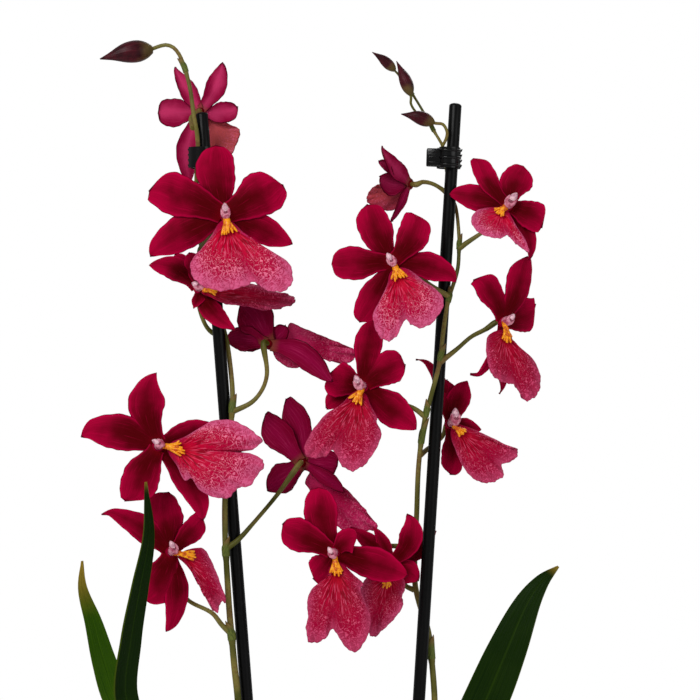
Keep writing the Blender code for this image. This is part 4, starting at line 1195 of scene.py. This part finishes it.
bloom(
    3, [(148, 264, 0, 27, "sepal", -8, 1), (193, 307, 0, 14, "lance", 2), (235, 329, -1, 22, "lance", -5),
        (174, 254, 0, 22, "petal"), (190, 252, 4, 18, "petal")],
    [],
    (192, 283), (205, 291), [(204, 286), (217, 282), (235, 281), (257, 285), (278, 292), (294, 297),
        (293, 304), (280, 308), (264, 310), (245, 306), (226, 304), (210, 297), (202, 293)],
    (0.25, -0.75, 0.6), valley=(285, 300), laced=0.6, curl=1.0, wave=0.4, folds=4,
)

bloom(
    4, [(241, 302, 0, 44, "round", -6, -1), (227, 340, 1, 26, "sepal", -3, -1),
        (233, 348, 1, 16, "lance", -2), (286, 325, 0, 20, "petal", -2), (331, 384, -1, 25, "sepal", 10, -1)],
    [(3, 0.2), (2, 0), (2, 0), (0, 0), (-3, 0)],
    (276, 336), (284, 342), [(284, 336), (290, 323), (301, 327), (318, 334), (335, 341), (353, 349),
        (356, 357), (345, 364), (330, 361), (316, 358), (303, 366), (290, 368), (277, 360), (273, 351),
        (277, 342)],
    (0.0, 1, 0.1), valley=(330, 361), laced=0.7, curl=1.5, wave=0.6,
)

bloom(
    5, [(154, 371, -2, 36, "spade", 9, 1), (80, 431, -3, 36, "sepal", -6, 1),
        (132, 503, -2, 38, "petal", -2, 1), (205, 520, -4, 27, "sepal", 7), (211, 424, -5, 26, "sepal")],
    [(-3, 0.1), (5, -0.2), (-8, -0.1), (-3, 0)],
    (152, 440), (176, 449), [(172, 442), (186, 436), (201, 427), (215, 420), (235, 421), (251, 430),
        (262, 440), (254, 449), (242, 452), (253, 454), (264, 462), (261, 471), (249, 486), (238, 488),
        (230, 497), (217, 498), (200, 490.5), (192, 479), (184, 480), (177, 466), (170, 456), (167, 448)],
    (-0.22, -1, 0.05), valley=(242, 452), laced=1.0, crown=((165, 446), (184, 449), 16),
)

bloom(
    6, [(164, 492, -2, 38, "round", 2, 1), (103, 509, -2, 26, "lance", -5, 1),
        (205, 517, -2, 23, "blunt", 0, 1), (144, 600, -2, 40, "petal", 4), (168, 633, -3, 24, "sepal", 8)],
    [(-6, 0.25), (5, 0), (4, 0.2), (0, 0), (-2, 0)],
    (170, 541), (185, 557), [(184, 551), (195, 548), (204, 549), (211, 560), (219, 579), (226, 601),
        (221, 602), (217, 613), (209, 603), (202, 590), (197, 581), (190, 570), (184, 563), (178, 557)],
    (0.22, -1, 0.3), valley=(221, 602), laced=0.6,
    crown=((176, 554), (194, 556), 11), curl=1.5, wave=0.6, folds=4,
)

bloom(
    7, [(262, 419, 0, 30, "round", -2, -1), (283, 403, 2, 26, "blunt", -9), (267, 489, 1, 30, "sepal", 1, -1),
        (338, 466, 2, 30, "blunt"), (345, 493, 0, 15, "sepal", 2)],
    [(6, 0.25), (6, 0.2), (-2, 0), (0, -0.2)],
    (298, 455), (314, 478), [(313, 471), (325, 476), (344, 487), (356, 499), (367, 512), (378, 528),
        (366, 531), (350, 532), (334, 524), (321, 510), (312, 498), (309, 489), (305, 483), (308, 475)],
    (0.15, 1, 0.2), valley=(356, 520), laced=0.6, lift=4.0, curl=1.5, wave=0.7,
)


# The right spike's blooms, from the top down

bloom(
    8, [(380, 147, -9, 18, "lance", 2), (378, 161, -4, 15, "sepal", -2), (378, 178, -1, 24, "sepal", 3, 2),
        (391, 222, -6, 11, "lance"), (389, 161, -5, 18, "sepal")],
    [(1, 0), (1, 0), (1, 0)],
    (403, 181), (405, 190), [(408, 189), (402, 186), (392, 184), (380, 184), (372, 188), (367, 196),
        (368, 203), (378, 208), (389, 211), (398, 208), (405, 202), (409, 194)],
    (-0.5, 0.85, -0.05), valley=(378, 202), laced=0.5, curl=1.0, wave=0.3,
)

bloom(
    9, [(478, 156, -2, 21, "blunt", 4, 1), (526, 167, 0, 32, "round", 3, 1),
        (449, 192, -2, 26, "sepal", -1, 1), (545, 222, 0, 30, "blunt", 1, 1), (531, 260, -3, 19, "lance", 7)],
    [(5, 0.1), (3, -0.1), (2, 0), (-7, -0.15), (-3, 0)],
    (517, 193), (502, 212), [(505, 208), (496, 207), (485, 208), (476, 211), (471, 220), (475, 229),
        (483, 235), (494, 238), (502, 238), (507, 235), (513, 241), (520, 247), (529, 252), (525, 239),
        (517, 227), (511, 216)],
    (-0.15, -1, 0.55), valley=(507, 235), laced=0.95,
    crown=((505, 209), (498, 215), 15), lift=3.9, curl=2.0, wave=0.6, folds=4,
)

bloom(
    10, [(368, 204, -2, 34, "round", 3, 1), (419, 213, 0, 32, "blunt", -5, 1),
        (331, 264, 0, 33, "blunt", 0, 1), (459, 279, -3, 27, "sepal", 5, 1), (359, 322, -2, 30, "petal", 1)],
    [(0, -0.15), (7, 0.2), (0, 0), (-4, 0), (0, -0.2)],
    (387, 253), (397, 274), [(390, 273), (387, 285), (380, 300), (373, 314), (375, 328), (381, 338),
        (390, 341), (398, 334), (405, 320), (412, 325), (423, 328), (436, 319), (444, 302), (437, 290),
        (424, 281), (413, 272), (405, 268), (397, 268)],
    (0.0, -1, 0.36), valley=(405, 320), laced=1.05, crown=((394.8, 267), (399, 280), 17),
)

bloom(
    11, [(525, 255, -2, 30, "petal", -3, 1), (479, 275, -2, 29, "blunt", -3, 1),
        (538, 311, -2, 33, "blunt", -1), (474, 379, -4, 13, "lance", 7), (504, 394, -5, 18, "lance")],
    [(-5, -0.35), (8, 0.2), (8, 0.5), (-6, 0), (-4, 0)],
    (514, 314), (504, 334), [(499, 330), (488, 336), (486, 350), (488, 364), (491, 373), (497, 379),
        (505, 383), (514, 385), (520, 394), (526, 401), (535, 397), (540, 388), (540, 374), (533, 359),
        (521, 348), (513, 340), (509, 331)],
    (0.4, -1, 0.25), valley=(514, 385), laced=0.52, crown=((504, 325), (507, 341), 13), curl=2.0, wave=0.6,
)

bloom(
    12, [(372, 319, -1, 28, "petal", 0, 1), (404, 361, 0, 33, "blunt", 2, 1),
        (329, 375, 3, 36, "blunt", 1, 1), (418, 428, -2, 33, "sepal", -1, 1),
        (325, 407, -3, 24, "sepal", -2)],
    [(-2, -0.1), (-3, 0.2), (0, 0.2), (-2, 0), (2, 0)],
    (355, 375), (359, 396), [(352, 393), (340, 405), (327, 413), (318, 423), (310, 434), (304, 449),
        (308, 457), (317, 458), (326, 456), (333, 450), (340, 463), (350, 471), (360, 468), (369, 460),
        (380, 441), (381, 431), (377, 423), (377, 417), (371, 406), (367, 396), (360, 390)],
    (0.0, -1, 0.42), valley=(333, 450), laced=0.62, crown=((361, 391), (355, 403), 17), lift=3.6,
)

bloom(
    13, [(452, 381, -2, 25, "petal", 2, 1), (464, 379, 0, 25, "sepal", -1, 1), (482, 429, -2, 18, "lance"),
        (450, 474, -2, 24, "blunt", 3), (420, 355, -3, 15, "lance", -8)],
    [(4, 0.2), (-4, -0.2), (0, 0), (0, 0.3), (6, 0)],
    (455, 408), (458, 430), [(456, 424), (468, 427), (482, 433), (497, 440), (510, 447), (518, 451),
        (514, 460), (502, 465), (504, 475), (496, 481), (486, 483), (474, 479), (466, 471), (460, 461),
        (455, 449), (451, 438), (451, 429)],
    (0.2, -1, 0.4), valley=(502, 465), laced=0.6,
    crown=((454.5, 428), (463, 435), 11), lift=4.3, curl=2.0, wave=0.6,
)

bloom(
    14, [(319, 487, -2, 33, "round", 4, 1), (281, 529, 0, 32, "blunt", -2, 1),
        (358, 538, 0, 25, "petal", 3, 2), (408, 576, -3, 33, "sepal", 1, 1), (313, 578, -2, 30, "blunt", 1)],
    [(0, 0), (-4, 0.1), (0, 0.3), (1, 0), (0, 0.3)],
    (328, 547), (336, 570), [(329, 568), (327, 576), (320, 582), (311, 590), (307, 603), (308, 615),
        (306, 629), (309, 642), (318, 642), (326, 638), (333, 629), (341, 641), (352, 652), (363, 645),
        (371, 623), (367, 606), (361, 591), (363, 583), (354, 575), (345, 566), (336, 562)],
    (0.04, -1, 0.36), valley=(333, 629), laced=0.58, crown=((334.8, 558), (337, 575), 14),
)

bloom(
    15, [(410, 513, 3, 24, "sepal", -10, 3), (436, 531, -5, 22, "lance", -3, -2),
        (419, 580, -1, 24, "sepal", 1), (350, 528, 0, 19, "lance", -2), (373, 527, 0, 14, "lance", -2)],
    [(4, 0.3)],
    (391, 556), (389, 575), [(384, 571), (371, 574), (362, 585), (361, 603), (367, 628), (373, 637),
        (384, 629), (395, 618), (403, 606), (402, 597), (405, 589), (404, 579), (396, 570), (389, 566)],
    (-0.1, -1, 0.1), valley=(372, 622), laced=0.7, curl=1.5, wave=0.6,
)


# The buds: four closed blooms at the spikes' ends. Each is a waxy pointed spindle in which three
# sepals meet along seams, maroon with a bronze green flush at its foot.

def bud_skin():
    finish = Finish("bud skin", Roughness=0.40, Specular_IOR_Level=0.15)
    share, cloud = finish.read("share"), finish.noise(160.0, 3.0)
    line = finish.lines(share * 2.0, finish.read("across") * 18.0)
    maroon = finish.blend(cloud.fade(0.35, 0.7), (44, 4, 16), (72, 14, 28))
    maroon = maroon.tinted(line.fade(0.55, 0.7) * 0.30, 104, 40, 48)
    finish.set("Base Color", maroon.tinted((cloud * 0.5 - share).fade(-0.10, 0.22) * 0.7, 96, 84, 44))
    finish.relief(line, 0.00025)
    return finish


def bud(number, foot, tip, width, finish):
    start, end = place(*foot), place(*tip)
    middle = start.lerp(end, 0.5)
    middle.z += 0.8 * MM
    spindle = (0.34, 0.66, 0.86, 0.97, 1.0, 0.97, 0.90, 0.78, 0.62, 0.45, 0.30, 0.17, 0.05)
    radii = [width / 2 * SHEET / MM * wide for wide in spindle]

    def seams(share, turn):
        return 1 - 0.075 * max(0, math.cos(3 * math.pi * turn)) ** 6 * math.sin(math.pi * share)

    bm = rod([start, middle, end], radii, 30, 40, swell=seams)
    finished(f"bud_{number}_closed", bm, "bud", [finish], f"bud_{number}")


waxy_maroon = bud_skin()
bud(1, (152.5, 49.5, 1), (100, 59, -4), 22.5, waxy_maroon)
bud(2, (395, 70.5, 2), (372, 52, -1), 11, waxy_maroon)
bud(3, (411, 95, -1), (396.5, 61, 1), 13, waxy_maroon)
bud(4, (434, 123, -5), (401, 114, -8), 14.5, waxy_maroon)


# The studio: a plain pale floor under a soft white surround, a large soft light at the upper left
# and a weaker one at the right. None of it belongs to the plant.

def studio():
    finish = clouded("pale floor", 3.0, (236,) * 3, (242,) * 3, Roughness=0.85, Specular_IOR_Level=0.1)
    bm = bmesh.new()
    bmesh.ops.create_circle(bm, cap_ends=True, segments=96, radius=1.7)
    mesh = bpy.data.meshes.new("floor")
    bm.to_mesh(mesh)
    bm.free()
    mesh.materials.append(finish.material)
    floor = bpy.data.objects.new("floor", mesh)
    bpy.context.scene.collection.objects.link(floor)
    for name, spot, aim, size, power in (
        ("key", (-0.9, -1.5, 1.5), (0, 0, 0.45), 0.8, 24.0),
        ("fill", (1.3, -1.2, 0.8), (0, 0, 0.4), 1.0, 6.0),
        ("rim", (0.5, 1.4, 1.3), (0, 0, 0.45), 0.8, 7.0),
    ):
        lamp = bpy.data.lights.new(name, "AREA")
        lamp.size, lamp.energy = size, power
        light = bpy.data.objects.new(name, lamp)
        light.location = spot
        light.rotation_euler = (Vector(aim) - Vector(spot)).to_track_quat("-Z", "Y").to_euler()
        bpy.context.scene.collection.objects.link(light)
    world = bpy.data.worlds.new("surround")
    world.use_nodes = True
    tree = world.node_tree
    lit, seen = tree.nodes["Background"], tree.nodes.new("ShaderNodeBackground")
    for background, strength in ((lit, 0.42), (seen, 1.0)):
        background.inputs["Color"].default_value = (1, 1, 1, 1)
        background.inputs["Strength"].default_value = strength
    ray, choice = tree.nodes.new("ShaderNodeLightPath"), tree.nodes.new("ShaderNodeMixShader")
    for source, target in (
        (ray.outputs["Is Camera Ray"], choice.inputs["Fac"]), (lit.outputs["Background"], choice.inputs[1]),
        (seen.outputs["Background"], choice.inputs[2]),
        (choice.outputs["Shader"], tree.nodes["World Output"].inputs["Surface"]),
    ):
        tree.links.new(source, target)
    bpy.context.scene.world = world
    bpy.context.scene.view_settings.view_transform = "Standard"


studio()
